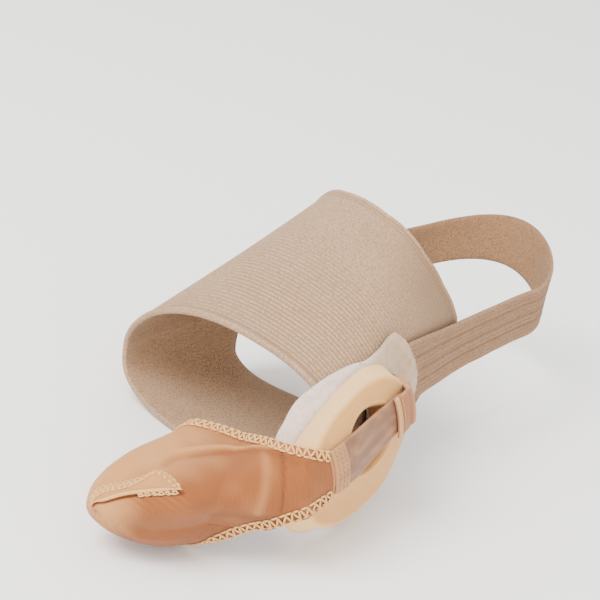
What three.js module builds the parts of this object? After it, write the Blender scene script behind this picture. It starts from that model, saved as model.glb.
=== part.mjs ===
// Bunion corrector for a right foot, in the form that it has when worn.
// Millimetres. +X runs to the heel, -Y to the inner side, +Z up, and z = 0 is the sole plane.
// The origin is at mid-length of the foot size that it fits, so the toes are at -X.
import * as THREE from 'three';

// Foot size that the corrector is made for
const FOOT_LENGTH = 240;
const BALL_WIDTH = 100;
const INSTEP_HEIGHT = 80;

// Walls and clearances
const CLEARANCE = 0.3;
const SKIN_CLEARANCE = 0.2;
const BAND_WALL = 1.6;
const HEM_RISE = 0.5;
const HEM_WIDTH = 2.4;
const STRAP_WALL = 1.8;
const FELT_WALL = 2.4;
const RING_WALL = 8;
const KNIT_WALL = 1.2;

// Instep band
const BAND_LENGTH = 62;
const BAND_PULL = 17;
const BAND_SWAY = 3;

// Heel strap
const STRAP_WIDTH = 22;
const STRAP_HEEL_WIDTH = 18;
const STRAP_TAPER = 50;
const STRAP_SIDE_HEIGHT = 35.5;
const STRAP_HEEL_HEIGHT = 48;
const STRAP_HEEL_LEAN = 5;
const STRAP_OUTER_OVERLAP = 20;
const STRAP_HEEL_INSET = 13;

// Pad ring, its hole and the felt under it
const RING_LENGTH = 47;
const RING_HEIGHT = 43;
const RING_TILT = 8;
const RING_BACK = 2;
const RING_BEVEL = 4.5;
const RING_ROUND = 1.4;
const HOLE_DIAMETER = 21.5;
const HOLE_BACK = 1.5;
const HOLE_RISE = 4.64;
const FELT_LENGTH = 76;
const FELT_HEIGHT = 61;
const FELT_HOLE_MARGIN = 1;
const FELT_RAMP = 6;
const FELT_RAMP_GAP = 2.5;

// Link over the hole and the tab that holds its rear end
const LINK_WIDTH = 15.4;
const LINK_REAR_WIDTH = 11;
const LINK_LENGTH = 31.5;
const LINK_HEM = 4.8;
const LINK_HEM_RISE = 0.6;
const LINK_FRONT_RISE = 0.2;
const LINK_REAR_RISE = 2.6;
const TAB_HEIGHT = 12.4;
const TAB_DROP = 0.4;
const TAB_LAP = 7;
const TAB_CLEARANCE = 1;

// Toe sleeve
const TOE_NOSE = 19;
const TOE_SHORT = 2.5;
const TOE_SPRING = 3.5;
const TENT_LENGTH = 22;
const TENT_MARGIN = 3;
const TENT_CLEARANCE = 0.6;
const TENT_UNDER = 60;

// Where the pieces sit along the foot, as shares of its length
const BAND_FRONT_SHARE = -0.1875;
const JOINT_SHARE = -0.2;
const TOE_ROOT_SHARE = -0.35;
const HEEL_CENTRE_SHARE = 0.333;

// Share of the strap's rise to its heel height that it has before it turns round the heel
const STRAP_EARLY_RISE = 0.13;

// How far the ring's centre is above the widest line, as a share of its half height, and how
// much of the link is forward of the hole's centre
const RING_SIT = 0.625;
const LINK_FORWARD = 0.58;

// Slope of the ring's outer wall: how far it faces away from the face, in degrees, at the
// rounded edge and below it, and a row between, as shares of the bevel and of the wall
const RING_EDGE_LEAN = 40;
const RING_SIDE_LEAN = 60;
const RING_SLOPE_GROW = 0.6;
const RING_SLOPE_FALL = 0.55;

// How square the foot's section is above and below its widest line, and its ridge's drift
const TOP_POWER = 2.3;
const SOLE_POWER = 3.4;
const RIDGE_POWER = 1.5;
const NOSE_POWER = 2.2;
const NOSE_HEIGHT = 0.4;
const RING_POWER = 2.8;
const TENT_POWER = 1.15;

// Foot form. at: share of the length; inner, outer, ridge, cleft: shares of the ball's width;
// top, widest, arch: shares of the instep's height. cleft is the big toe's outer side.
const FORM = [
  { at: -0.5, inner: 0.4, outer: 0.1, top: 0.26, ridge: -0.28, widest: 0.12, arch: 0, cleft: -0.15 },
  { at: -0.458, inner: 0.43, outer: 0.2, top: 0.31, ridge: -0.3, widest: 0.13, arch: 0, cleft: -0.175 },
  { at: -0.417, inner: 0.465, outer: 0.3, top: 0.335, ridge: -0.29, widest: 0.14, arch: 0, cleft: -0.195 },
  { at: -0.333, inner: 0.51, outer: 0.38, top: 0.38, ridge: -0.27, widest: 0.165, arch: 0, cleft: -0.225 },
  { at: -0.25, inner: 0.53, outer: 0.44, top: 0.4625, ridge: -0.23, widest: 0.19, arch: 0, cleft: -0.21 },
  { at: -0.167, inner: 0.51, outer: 0.47, top: 0.5875, ridge: -0.16, widest: 0.21, arch: 0, cleft: -0.2 },
  { at: -0.083, inner: 0.45, outer: 0.46, top: 0.725, ridge: -0.1, widest: 0.24, arch: 0.05, cleft: -0.2 },
  { at: 0, inner: 0.39, outer: 0.43, top: 0.8625, ridge: -0.05, widest: 0.26, arch: 0.11, cleft: -0.2 },
  { at: 0.083, inner: 0.35, outer: 0.39, top: 0.9875, ridge: -0.01, widest: 0.29, arch: 0.14, cleft: -0.2 },
  { at: 0.167, inner: 0.32, outer: 0.35, top: 1.125, ridge: 0.02, widest: 0.31, arch: 0.14, cleft: -0.2 },
  { at: 0.25, inner: 0.31, outer: 0.32, top: 1.3, ridge: 0.03, widest: 0.325, arch: 0.12, cleft: -0.2 },
  { at: 0.333, inner: 0.3, outer: 0.3, top: 1.5, ridge: 0.03, widest: 0.325, arch: 0.08, cleft: -0.2 },
];

// Rear hem of the band. angle: degrees round the foot; pull: share of BAND_PULL.
const BAND_REAR = [
  { angle: 0, pull: -0.3 },
  { angle: 4, pull: 0.1 },
  { angle: 10, pull: 0.55 },
  { angle: 16, pull: 0.9 },
  { angle: 27, pull: 0.72 },
  { angle: 38, pull: 0.46 },
  { angle: 55, pull: 0.28 },
  { angle: 75, pull: 0.02 },
  { angle: 98, pull: -0.12 },
  { angle: 115, pull: -0.06 },
  { angle: 128, pull: 0.02 },
  { angle: 145, pull: 0.33 },
  { angle: 155, pull: 0.64 },
  { angle: 164, pull: 0.9 },
  { angle: 170, pull: 0.55 },
  { angle: 176, pull: 0.1 },
  { angle: 180, pull: -0.3 },
  { angle: 190, pull: -0.6 },
  { angle: 210, pull: -0.75 },
  { angle: 270, pull: -0.75 },
  { angle: 330, pull: -0.75 },
  { angle: 350, pull: -0.6 },
  { angle: 360, pull: -0.3 },
];

// Open rim of the toe sleeve. angle: degrees; reach: 0 at the toe's root, 1 at the tongue's end.
const SLEEVE_RIM = [
  { angle: 0, reach: 0 },
  { angle: 45, reach: 0.06 },
  { angle: 75, reach: 0.14 },
  { angle: 88, reach: 0.22 },
  { angle: 97, reach: 0.33 },
  { angle: 103, reach: 0.44 },
  { angle: 110, reach: 0.5 },
  { angle: 119, reach: 0.51 },
  { angle: 127.5, reach: 0.54 },
  { angle: 133, reach: 0.61 },
  { angle: 137, reach: 0.7 },
  { angle: 139.5, reach: 0.82 },
  { angle: 142, reach: 1 },
  { angle: 158, reach: 1 },
  { angle: 159.5, reach: 0.8 },
  { angle: 161, reach: 0.58 },
  { angle: 164, reach: 0.44 },
  { angle: 173, reach: 0.33 },
  { angle: 184, reach: 0.19 },
  { angle: 193, reach: 0.08 },
  { angle: 202, reach: 0 },
  { angle: 214, reach: -0.08 },
  { angle: 228, reach: -0.22 },
  { angle: 250, reach: -0.27 },
  { angle: 275, reach: -0.28 },
  { angle: 305, reach: -0.22 },
  { angle: 335, reach: -0.08 },
  { angle: 360, reach: 0 },
];

// Felt outline from its rear top corner round. back, rise: shares of its length and height
// from the ring's centre.
const FELT_OUTLINE = [
  { back: 0.476, rise: 0.432 },
  { back: 0.532, rise: 0.275 },
  { back: 0.589, rise: 0.099 },
  { back: 0.596, rise: -0.019 },
  { back: 0.572, rise: -0.13 },
  { back: 0.487, rise: -0.294 },
  { back: 0.342, rise: -0.401 },
  { back: 0.158, rise: -0.432 },
  { back: -0.026, rise: -0.432 },
  { back: -0.197, rise: -0.36 },
  { back: -0.316, rise: -0.196 },
  { back: -0.37, rise: 0.018 },
  { back: -0.36, rise: 0.247 },
  { back: -0.292, rise: 0.444 },
  { back: -0.2, rise: 0.526 },
  { back: -0.096, rise: 0.578 },
  { back: 0.053, rise: 0.558 },
  { back: 0.184, rise: 0.498 },
  { back: 0.282, rise: 0.426 },
  { back: 0.387, rise: 0.409 },
  { back: 0.476, rise: 0.432 },
];

// Steps that give a surface's directions: along the foot, round it, and along the strap
const STATION_STEP = 0.05;
const ANGLE_STEP = 0.2;
const WAY_STEP = 0.004;

// Samples up the inner wall of the foot: the step and the last angle
const WALL_ANGLE_STEP = 2;
const WALL_TOP_ANGLE = 84;

// Mesh steps of the sleeve: along its rim, the length that stands for one degree round the toe,
// how rows crowd at the nose, and the share of the way where its lines end their fan
const RIM_STEP = 4.4;
const ANGLE_LENGTH = 0.4;
const NOSE_CROWDING = 1.5;
const FAN_END = 1;

// Layers, measured out from the foot
const BAND_IN = SKIN_CLEARANCE;
const BAND_OUT = BAND_IN + BAND_WALL;
const HEM_OUT = BAND_OUT + HEM_RISE;
const OVER_BAND = HEM_OUT + CLEARANCE;
const FELT_OUT = OVER_BAND + FELT_WALL;
const OVER_STRAP = OVER_BAND + STRAP_WALL + 2 * CLEARANCE;
const RING_IN = FELT_OUT + CLEARANCE;
const RING_FACE = RING_IN + RING_WALL;
const LINK_IN = RING_FACE + CLEARANCE;
const LINK_OUT = LINK_IN + KNIT_WALL;
const TAB_IN = LINK_OUT + 1.5 * CLEARANCE;
const TAB_OUT = TAB_IN + KNIT_WALL;

// Places along the foot
const BAND_FRONT = BAND_FRONT_SHARE * FOOT_LENGTH;
const JOINT = JOINT_SHARE * FOOT_LENGTH;
const RING_CENTRE = JOINT + RING_BACK;
const RING_CENTRE_RISE = RING_SIT * RING_HEIGHT / 2;
const HOLE_CENTRE = RING_CENTRE + HOLE_BACK;
const HOLE_CENTRE_RISE = RING_CENTRE_RISE + HOLE_RISE;
const LINK_FRONT = HOLE_CENTRE - LINK_FORWARD * LINK_LENGTH;
const LINK_REAR = LINK_FRONT + LINK_LENGTH;
const TOE_TIP = TOE_SHORT - FOOT_LENGTH / 2;
const TOE_ROOT = TOE_ROOT_SHARE * FOOT_LENGTH;
const TONGUE_END = LINK_FRONT - CLEARANCE;
const HEEL_CENTRE = HEEL_CENTRE_SHARE * FOOT_LENGTH;
const HEEL_BACK = FOOT_LENGTH / 2 - STRAP_HEEL_INSET;

const radians = THREE.MathUtils.degToRad;
const clamp = THREE.MathUtils.clamp;
const mix = THREE.MathUtils.lerp;

// Power of a signed number that keeps its sign
function signedPower(value, power) {
  return Math.sign(value) * Math.abs(value) ** power;
}

// Straight interpolation of one column of a table
function straight(rows, key, column, at) {
  const last = rows.length - 2;
  const next = rows.findIndex((row) => row[key] > at);
  const i = clamp(next < 0 ? last : next - 1, 0, last);
  const share = clamp((at - rows[i][key]) / (rows[i + 1][key] - rows[i][key]), 0, 1);
  return mix(rows[i][column], rows[i + 1][column], share);
}

// Slope of one column at one row, from its neighbours
function slopeAt(rows, column, i) {
  const before = rows[Math.max(i - 1, 0)];
  const after = rows[Math.min(i + 1, rows.length - 1)];
  return (after[column] - before[column]) / (after.at - before.at);
}

// Smooth interpolation of one column of the foot form, at a share of the length
function smooth(column, share) {
  const last = FORM.length - 2;
  const next = FORM.findIndex((row) => row.at > share);
  const i = clamp(next < 0 ? last : next - 1, 0, last);
  const span = FORM[i + 1].at - FORM[i].at;
  const u = (share - FORM[i].at) / span;
  const a = FORM[i][column];
  const b = FORM[i + 1][column];
  if (u < 0) return a + slopeAt(FORM, column, i) * span * u;
  if (u > 1) return b + slopeAt(FORM, column, i + 1) * span * (u - 1);
  const rise = slopeAt(FORM, column, i) * span * (u - 2 * u * u + u * u * u);
  const fall = slopeAt(FORM, column, i + 1) * span * (u * u * u - u * u);
  return a + (b - a) * (3 * u * u - 2 * u * u * u) + rise + fall;
}

// Sizes of the foot's section at one station, kept once worked out
const knownSections = new Map();
function sectionAt(x) {
  if (knownSections.has(x)) return knownSections.get(x);
  const share = x / FOOT_LENGTH;
  const inner = -BALL_WIDTH * smooth('inner', share);
  const outer = BALL_WIDTH * smooth('outer', share);
  const section = {
    inner,
    outer,
    middle: (inner + outer) / 2,
    half: (outer - inner) / 2,
    top: INSTEP_HEIGHT * smooth('top', share),
    ridge: BALL_WIDTH * smooth('ridge', share),
    widest: INSTEP_HEIGHT * smooth('widest', share),
    arch: INSTEP_HEIGHT * smooth('arch', share),
    cleft: BALL_WIDTH * smooth('cleft', share),
  };
  knownSections.set(x, section);
  return section;
}

// Point on the foot at station x and angle t: 0 outer side, 90 top, 180 inner side, 270 sole
function footPoint(x, t) {
  const { middle, half, top, ridge, widest, arch } = sectionAt(x);
  const c = Math.cos(radians(t));
  const s = Math.sin(radians(t));
  const power = 2 / (s >= 0 ? TOP_POWER : SOLE_POWER);
  const across = signedPower(c, power);
  const up = Math.abs(s) ** power;
  const y = middle + half * across;
  if (s < 0) return new THREE.Vector3(x, y, widest - up * (widest - arch * (1 - across) / 2));
  return new THREE.Vector3(x, y + (ridge - middle) * up ** RIDGE_POWER, widest + up * (top - widest));
}

// Point on the big toe at station x and angle t: the foot's inner side, closed at the cleft
function toePoint(x, t) {
  const { inner, top, ridge, widest, cleft } = sectionAt(x);
  const c = Math.cos(radians(t));
  const s = Math.sin(radians(t));
  const round = 2 / TOP_POWER;
  const centre = (inner + cleft) / 2;
  let point;
  if (s >= 0 && c < 0) {
    point = footPoint(x, t);
  } else if (s >= 0) {
    const y = ridge + Math.abs(c) ** round * (cleft - ridge);
    point = new THREE.Vector3(x, y, widest + Math.abs(s) ** round * (top - widest));
  } else {
    const y = centre + signedPower(c, round) * (cleft - centre);
    const spring = TOE_SPRING * clamp((TOE_ROOT - x) / (TOE_ROOT - TOE_TIP), 0, 1);
    point = new THREE.Vector3(x, y, widest - (widest - spring) * Math.abs(s) ** round);
  }
  const short = clamp(1 - (x - TOE_TIP) / TOE_NOSE, 0, 1);
  const size = (1 - short ** NOSE_POWER) ** (1 / NOSE_POWER);
  const axis = new THREE.Vector3(x, centre, (top + widest) * NOSE_HEIGHT);
  return point.lerp(axis, 1 - size);
}

// Outward normal of a surface given as a function of a station and an angle
function normalOf(surface, x, t) {
  const along = surface(x + STATION_STEP, t).sub(surface(x - STATION_STEP, t));
  const round = surface(x, t + ANGLE_STEP).sub(surface(x, t - ANGLE_STEP));
  return round.cross(along).normalize();
}

// Point at a distance out from the foot
function offFoot(x, t, out) {
  return footPoint(x, t).addScaledVector(normalOf(footPoint, x, t), out);
}

// Samples up the foot's inner side at station x, with their length at the ring's face.
// Their normals never point down, so that the layers don't fold where the side overhangs.
const knownWalls = new Map();
function innerWall(x) {
  if (knownWalls.has(x)) return knownWalls.get(x);
  const samples = [];
  let length = 0;
  for (let t = 180; t >= WALL_TOP_ANGLE; t -= WALL_ANGLE_STEP) {
    const foot = footPoint(x, t);
    const normal = normalOf(footPoint, x, t);
    const face = foot.clone().addScaledVector(normal, RING_FACE);
    if (samples.length) length += face.distanceTo(samples[samples.length - 1].face);
    normal.setZ(Math.max(normal.z, 0)).normalize();
    samples.push({ t, foot, normal, face, length });
  }
  knownWalls.set(x, samples);
  return samples;
}

// Point on the pad's seat at station x, a rise up the ring's face from the foot's widest line,
// and a distance out from the foot. Below the widest line the seat hangs straight down.
function padPoint(x, rise, out) {
  const wall = innerWall(x);
  if (rise <= 0) {
    const { foot, normal } = wall[0];
    const point = foot.clone().addScaledVector(normal, out);
    return point.add(new THREE.Vector3(0, 0, rise));
  }
  const next = wall.findIndex((sample) => sample.length > rise);
  const i = next < 0 ? wall.length - 1 : next;
  const share = (rise - wall[i - 1].length) / (wall[i].length - wall[i - 1].length);
  const foot = wall[i - 1].foot.clone().lerp(wall[i].foot, share);
  const normal = wall[i - 1].normal.clone().lerp(wall[i].normal, share).normalize();
  return foot.addScaledVector(normal, out);
}

// Rise on the pad's seat that belongs to an angle on the foot
function riseAt(x, t) {
  const wall = innerWall(x);
  if (t >= 180) return footPoint(x, t).z - sectionAt(x).widest;
  const i = clamp(Math.ceil((180 - t) / WALL_ANGLE_STEP), 1, wall.length - 1);
  const share = (wall[i - 1].t - t) / (wall[i - 1].t - wall[i].t);
  return mix(wall[i - 1].length, wall[i].length, share);
}

// Closed mesh over rows of points, each row one closed loop. The last row joins the first,
// or each end closes at its pole or, where the loops go out over a sheet and back under it, flat.
function gridGeometry(rows, { closed = false, startPole = null, endPole = null, flatEnds = false } = {}) {
  const round = rows[0].length;
  const points = rows.flat();
  const faces = [];
  const at = (row, column) => (row % rows.length) * round + (column % round);
  const bands = closed ? rows.length : rows.length - 1;
  for (let i = 0; i < bands; i += 1) {
    for (let j = 0; j < round; j += 1) {
      faces.push(at(i, j), at(i, j + 1), at(i + 1, j + 1));
      faces.push(at(i, j), at(i + 1, j + 1), at(i + 1, j));
    }
  }
  const close = (row, pole, turned) => {
    points.push(pole);
    for (let j = 0; j < round; j += 1) {
      const edge = [at(row, j), at(row, j + 1)];
      if (turned) edge.reverse();
      faces.push(points.length - 1, edge[1], edge[0]);
    }
  };
  if (startPole) close(0, startPole, false);
  if (endPole) close(rows.length - 1, endPole, true);
  const flatten = (row, turned) => {
    for (let j = 0; j + 1 < round / 2; j += 1) {
      const corners = [at(row, j), at(row, j + 1), at(row, round - 2 - j), at(row, round - 1 - j)];
      if (turned) corners.reverse();
      const [p, q, r, s] = corners;
      faces.push(p, r, q, p, s, r);
    }
  };
  if (flatEnds) {
    flatten(0, false);
    flatten(rows.length - 1, true);
  }
  return outwardGeometry(points, faces);
}

// Geometry from points and faces, turned so that its faces point out
function outwardGeometry(points, faces) {
  let volume = 0;
  for (let i = 0; i < faces.length; i += 3) {
    const [a, b, c] = [points[faces[i]], points[faces[i + 1]], points[faces[i + 2]]];
    volume += a.dot(b.clone().cross(c));
  }
  const turned = volume < 0 ? faces.reverse() : faces;
  const geometry = new THREE.BufferGeometry().setFromPoints(points);
  geometry.setIndex(turned);
  geometry.computeVertexNormals();
  return geometry;
}

// Evenly spaced shares from 0 to 1
function shares(count) {
  return Array.from({ length: count + 1 }, (_, i) => i / count);
}

// Named mesh with its own material
function piece(name, geometry, colour, roughness) {
  const material = new THREE.MeshStandardMaterial({ color: colour, roughness, metalness: 0 });
  material.name = name;
  const mesh = new THREE.Mesh(geometry, material);
  mesh.name = name;
  return mesh;
}

// Front and rear edge of the band at an angle round the foot
function bandFront(t) {
  return BAND_FRONT + BAND_SWAY * Math.cos(radians(t));
}

function bandRear(t) {
  return BAND_FRONT + BAND_LENGTH + BAND_PULL * straight(BAND_REAR, 'angle', 'pull', t);
}

// Seamless band round the instep, with a raised hem at each edge
function instepBand() {
  const round = 52;
  const across = 10;
  const rows = [];
  for (let j = 0; j < round; j += 1) {
    const t = 360 * j / round;
    const front = bandFront(t);
    const rear = bandRear(t);
    const loop = [];
    const put = (x, out) => loop.push(offFoot(x, t, out));
    put(front, HEM_OUT);
    put(front + HEM_WIDTH, HEM_OUT);
    for (const share of shares(across)) {
      put(mix(front + HEM_WIDTH + HEM_RISE, rear - HEM_WIDTH - HEM_RISE, share), BAND_OUT);
    }
    put(rear - HEM_WIDTH, HEM_OUT);
    put(rear, HEM_OUT);
    for (const share of shares(across)) put(mix(rear, front, share), BAND_IN);
    rows.push(loop);
  }
  return piece('instep_band', gridGeometry(rows, { closed: true }), '#bfab97', 0.9);
}

// Side of the foot at station x and height z, on the inner (-1) or outer (1) side
function sidePoint(x, z, side) {
  const { middle, half, top, ridge, widest } = sectionAt(x);
  const up = clamp((z - widest) / (top - widest), 0, 1);
  const down = clamp((widest - z) / widest, 0, 1);
  const reach = z >= widest
    ? (1 - up ** TOP_POWER) ** (1 / TOP_POWER)
    : (1 - down ** SOLE_POWER) ** (1 / SOLE_POWER);
  const y = middle + side * half * reach + (ridge - middle) * up ** RIDGE_POWER;
  return new THREE.Vector3(x, y, z);
}

// Rearmost station of the ring's foot, where the strap's front end starts
const RING_REAR = Math.max(...shares(90).map((share) => ringEdge(2 * Math.PI * share, RING_BEVEL).x));
const RAMP_START = RING_REAR + FELT_RAMP_GAP;
const STRAP_FRONT = RAMP_START + FELT_RAMP + 2 * CLEARANCE;
const STRAP_END = BAND_FRONT + BAND_LENGTH + BAND_PULL - STRAP_OUTER_OVERLAP;

// Station along the strap. way: 0 to 1 inner side, 1 to 2 round the heel, 2 to 3 outer side.
function strapStation(way) {
  if (way < 1) return mix(STRAP_FRONT, HEEL_CENTRE, way);
  return mix(HEEL_CENTRE, STRAP_END, clamp(way - 2, 0, 1));
}

// Width of the strap, which its pull narrows towards the heel
function strapWidth(way) {
  const taper = THREE.MathUtils.smoothstep(strapStation(way), STRAP_FRONT, STRAP_FRONT + STRAP_TAPER);
  return mix(STRAP_WIDTH, STRAP_HEEL_WIDTH, taper);
}

// Point of the strap's seat, an offset above its middle line
function strapSeat(way, offset) {
  const x = strapStation(way);
  const turn = Math.PI * clamp(way - 1, 0, 1);
  const early = THREE.MathUtils.smoothstep(x, 0, HEEL_CENTRE) * STRAP_EARLY_RISE;
  const rise = mix(early, 1, Math.sin(turn) ** 2);
  const z = mix(STRAP_SIDE_HEIGHT, STRAP_HEEL_HEIGHT, rise) + offset;
  if (way <= 1) return sidePoint(x, z, -1);
  if (way >= 2) return sidePoint(x, z, 1);
  const inner = sidePoint(HEEL_CENTRE, z, -1).y;
  const outer = sidePoint(HEEL_CENTRE, z, 1).y;
  const lean = STRAP_HEEL_LEAN * offset / STRAP_HEEL_WIDTH;
  const y = (inner + outer) / 2 - Math.cos(turn) * (outer - inner) / 2;
  const back = (HEEL_BACK - HEEL_CENTRE + lean) * Math.sin(turn);
  return new THREE.Vector3(HEEL_CENTRE + back, y, z);
}

// Distance of the strap's inner face from the foot: over the band first, then on the heel
function strapLift(way) {
  const rear = BAND_FRONT + BAND_LENGTH + BAND_PULL;
  const start = way < 1.5 ? STRAP_FRONT : STRAP_END;
  const side = way < 1.5 ? way : 3 - way;
  const x = mix(start, HEEL_CENTRE, clamp(side, 0, 1));
  const down = THREE.MathUtils.smoothstep(x, rear + HEM_WIDTH, HEEL_CENTRE);
  return mix(OVER_BAND, SKIN_CLEARANCE, down);
}

// Point of the strap, a distance out from its inner face
function offStrapSeat(way, offset, out) {
  const ahead = strapSeat(Math.min(way + WAY_STEP, 3), offset);
  const behind = strapSeat(Math.max(way - WAY_STEP, 0), offset);
  const up = strapSeat(way, offset + 1).sub(strapSeat(way, offset - 1));
  const facing = ahead.sub(behind).cross(up).normalize();
  return strapSeat(way, offset).addScaledVector(facing, strapLift(way) + out);
}

// Elastic strap from under the felt round the heel to the band's outer side
function heelStrap() {
  const across = 4;
  const stations = [
    ...shares(20),
    ...shares(22).slice(1, -1).map((share) => 1 + share),
    ...shares(20).map((share) => 2 + share),
  ];
  const loops = stations.map((way) => {
    const edge = strapWidth(way) / 2;
    const offsets = shares(across).map((share) => mix(-edge, edge, share));
    const outer = offsets.map((offset) => offStrapSeat(way, offset, STRAP_WALL));
    const inner = offsets.reverse().map((offset) => offStrapSeat(way, offset, 0));
    return [...outer, ...inner];
  });
  return piece('heel_strap', gridGeometry(loops, { flatEnds: true }), '#c4ad99', 0.85);
}

// Place on the ring's outline, grown by a margin. back is along the foot, rise is up its side.
function ringEdge(turn, grow) {
  const c = Math.cos(turn);
  const s = Math.sin(turn);
  const a = signedPower(c, 2 / RING_POWER) * (RING_LENGTH / 2 + grow);
  const b = signedPower(s, 2 / RING_POWER) * (RING_HEIGHT / 2 + grow);
  const tilt = radians(RING_TILT);
  return new THREE.Vector2(
    RING_CENTRE + a * Math.cos(tilt) - b * Math.sin(tilt),
    RING_CENTRE_RISE + a * Math.sin(tilt) + b * Math.cos(tilt),
  );
}

// How far a place lies outside the ring's face, along the line from its centre
function outsideRing(x, rise) {
  const tilt = radians(RING_TILT);
  const back = x - RING_CENTRE;
  const up = rise - RING_CENTRE_RISE;
  const a = Math.abs(back * Math.cos(tilt) + up * Math.sin(tilt)) / (RING_LENGTH / 2);
  const b = Math.abs(up * Math.cos(tilt) - back * Math.sin(tilt)) / (RING_HEIGHT / 2);
  const size = (a ** RING_POWER + b ** RING_POWER) ** (1 / RING_POWER);
  return Math.hypot(back, up) * (1 - 1 / Math.max(size, 1e-6));
}

// Place on a round hole's edge
function holeEdge(turn, radius) {
  const centre = new THREE.Vector2(HOLE_CENTRE, HOLE_CENTRE_RISE);
  return centre.add(new THREE.Vector2(radius * Math.cos(turn), radius * Math.sin(turn)));
}

// Outer wall of the ring from its face down to its foot. grow: margin of the outline;
// out: distance from the foot; lean: how far the wall faces away from the face, in degrees.
const RING_SIDE = [
  { grow: -RING_ROUND, out: RING_FACE, lean: 0 },
  { grow: 0, out: RING_FACE - RING_ROUND / 2, lean: RING_EDGE_LEAN },
  { grow: RING_BEVEL * RING_SLOPE_GROW, out: mix(RING_FACE, RING_IN, RING_SLOPE_FALL), lean: RING_SIDE_LEAN },
  { grow: RING_BEVEL, out: RING_IN, lean: RING_SIDE_LEAN },
];

// Foam ring with a sloped outer wall, a rounded face edge and a round hole
function padRing() {
  const round = 52;
  const rows = [];
  for (let j = 0; j < round; j += 1) {
    const turn = 2 * Math.PI * j / round;
    const hole = holeEdge(turn, HOLE_DIAMETER / 2);
    const holeLip = holeEdge(turn, HOLE_DIAMETER / 2 + RING_ROUND / 2);
    const face = ringEdge(turn, -RING_ROUND);
    const foot = ringEdge(turn, RING_BEVEL);
    const loop = [];
    const put = (place, out) => loop.push(padPoint(place.x, place.y, out));
    put(hole, RING_IN);
    put(hole, RING_IN + RING_WALL / 2);
    put(hole, RING_FACE - RING_ROUND / 2);
    put(holeLip, RING_FACE);
    for (const share of shares(4).slice(1, -1)) put(holeLip.clone().lerp(face, share), RING_FACE);
    for (const { grow, out } of RING_SIDE) put(ringEdge(turn, grow), out);
    for (const share of shares(4).slice(1, -1)) put(foot.clone().lerp(hole, share), RING_IN);
    rows.push(loop);
  }
  return piece('ring_pad', gridGeometry(rows, { closed: true }), '#dcc5a2', 0.95);
}

// Distance of the felt's inner face from the foot: it steps up over the strap's front end
function feltLift(x) {
  const up = THREE.MathUtils.smoothstep(x, RAMP_START, RAMP_START + FELT_RAMP);
  return mix(OVER_BAND, OVER_STRAP, up);
}

// Felt under the ring, with its pointed rear top corner
function feltBacking() {
  const round = 56;
  const corners = FELT_OUTLINE.map(({ back, rise }) => new THREE.Vector2(
    JOINT + back * FELT_LENGTH,
    RING_CENTRE_RISE + rise * FELT_HEIGHT,
  ));
  const outline = new THREE.SplineCurve(corners);
  const hole = new THREE.Vector2(HOLE_CENTRE, HOLE_CENTRE_RISE);
  const rows = shares(round).slice(0, -1).map((share) => {
    const edge = outline.getPointAt(share);
    const turn = edge.clone().sub(hole).angle();
    const inside = holeEdge(turn, HOLE_DIAMETER / 2 + FELT_HOLE_MARGIN);
    const places = shares(7).map((step) => inside.clone().lerp(edge, step));
    const outer = places.map(({ x, y }) => padPoint(x, y, feltLift(x) + FELT_WALL));
    const inner = places.reverse().map(({ x, y }) => padPoint(x, y, feltLift(x)));
    return [...outer, ...inner];
  });
  return piece('felt_backing', gridGeometry(rows, { closed: true }), '#dcd6d3', 1);
}

// Share of the way from the link's front end to its rear end
function linkShare(x) {
  return (x - LINK_FRONT) / LINK_LENGTH;
}

// Middle line of the link up the side of the foot, at a station along it
function linkRise(x) {
  return HOLE_CENTRE_RISE + mix(LINK_FRONT_RISE, LINK_REAR_RISE, linkShare(x));
}

// Elastic link over the hole, with a turned hem at its front end
function elasticLink() {
  const hemEnd = LINK_FRONT + LINK_HEM + LINK_HEM_RISE;
  const stations = [
    ...shares(3).map((share) => ({ x: LINK_FRONT + share * LINK_HEM, rise: LINK_HEM_RISE })),
    ...shares(9).map((share) => ({ x: mix(hemEnd, LINK_REAR, share), rise: 0 })),
  ];
  const loops = stations.map(({ x, rise }) => {
    const middle = linkRise(x);
    const width = mix(LINK_WIDTH, LINK_REAR_WIDTH, linkShare(x));
    const places = shares(6).map((share) => middle + (share - 0.5) * width);
    const outer = places.map((place) => padPoint(x, place, LINK_OUT + rise));
    const inner = places.reverse().map((place) => padPoint(x, place, LINK_IN));
    return [...outer, ...inner];
  });
  return piece('link_elastic', gridGeometry(loops, { flatEnds: true }), '#b99f8e', 0.5);
}

// Station where the ring's outline, grown by a margin, passes a rise on its rear side
function ringRearAt(rise, grow) {
  const places = shares(180).map((share) => ringEdge(2 * Math.PI * share, grow));
  const crossings = [RING_CENTRE];
  for (let i = 0; i + 1 < places.length; i += 1) {
    const [from, to] = [places[i], places[i + 1]];
    if ((from.y - rise) * (to.y - rise) > 0) continue;
    crossings.push(mix(from.x, to.x, (rise - from.y) / (to.y - from.y)));
  }
  return Math.max(...crossings);
}

// Place on the ring's side at a rise, a distance off it: the tab's own station and height
function offRingSide({ grow, out, lean }, rise, off) {
  const back = off * Math.sin(radians(lean));
  return padPoint(ringRearAt(rise, grow) + back, rise, out + off * Math.cos(radians(lean)));
}

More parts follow.
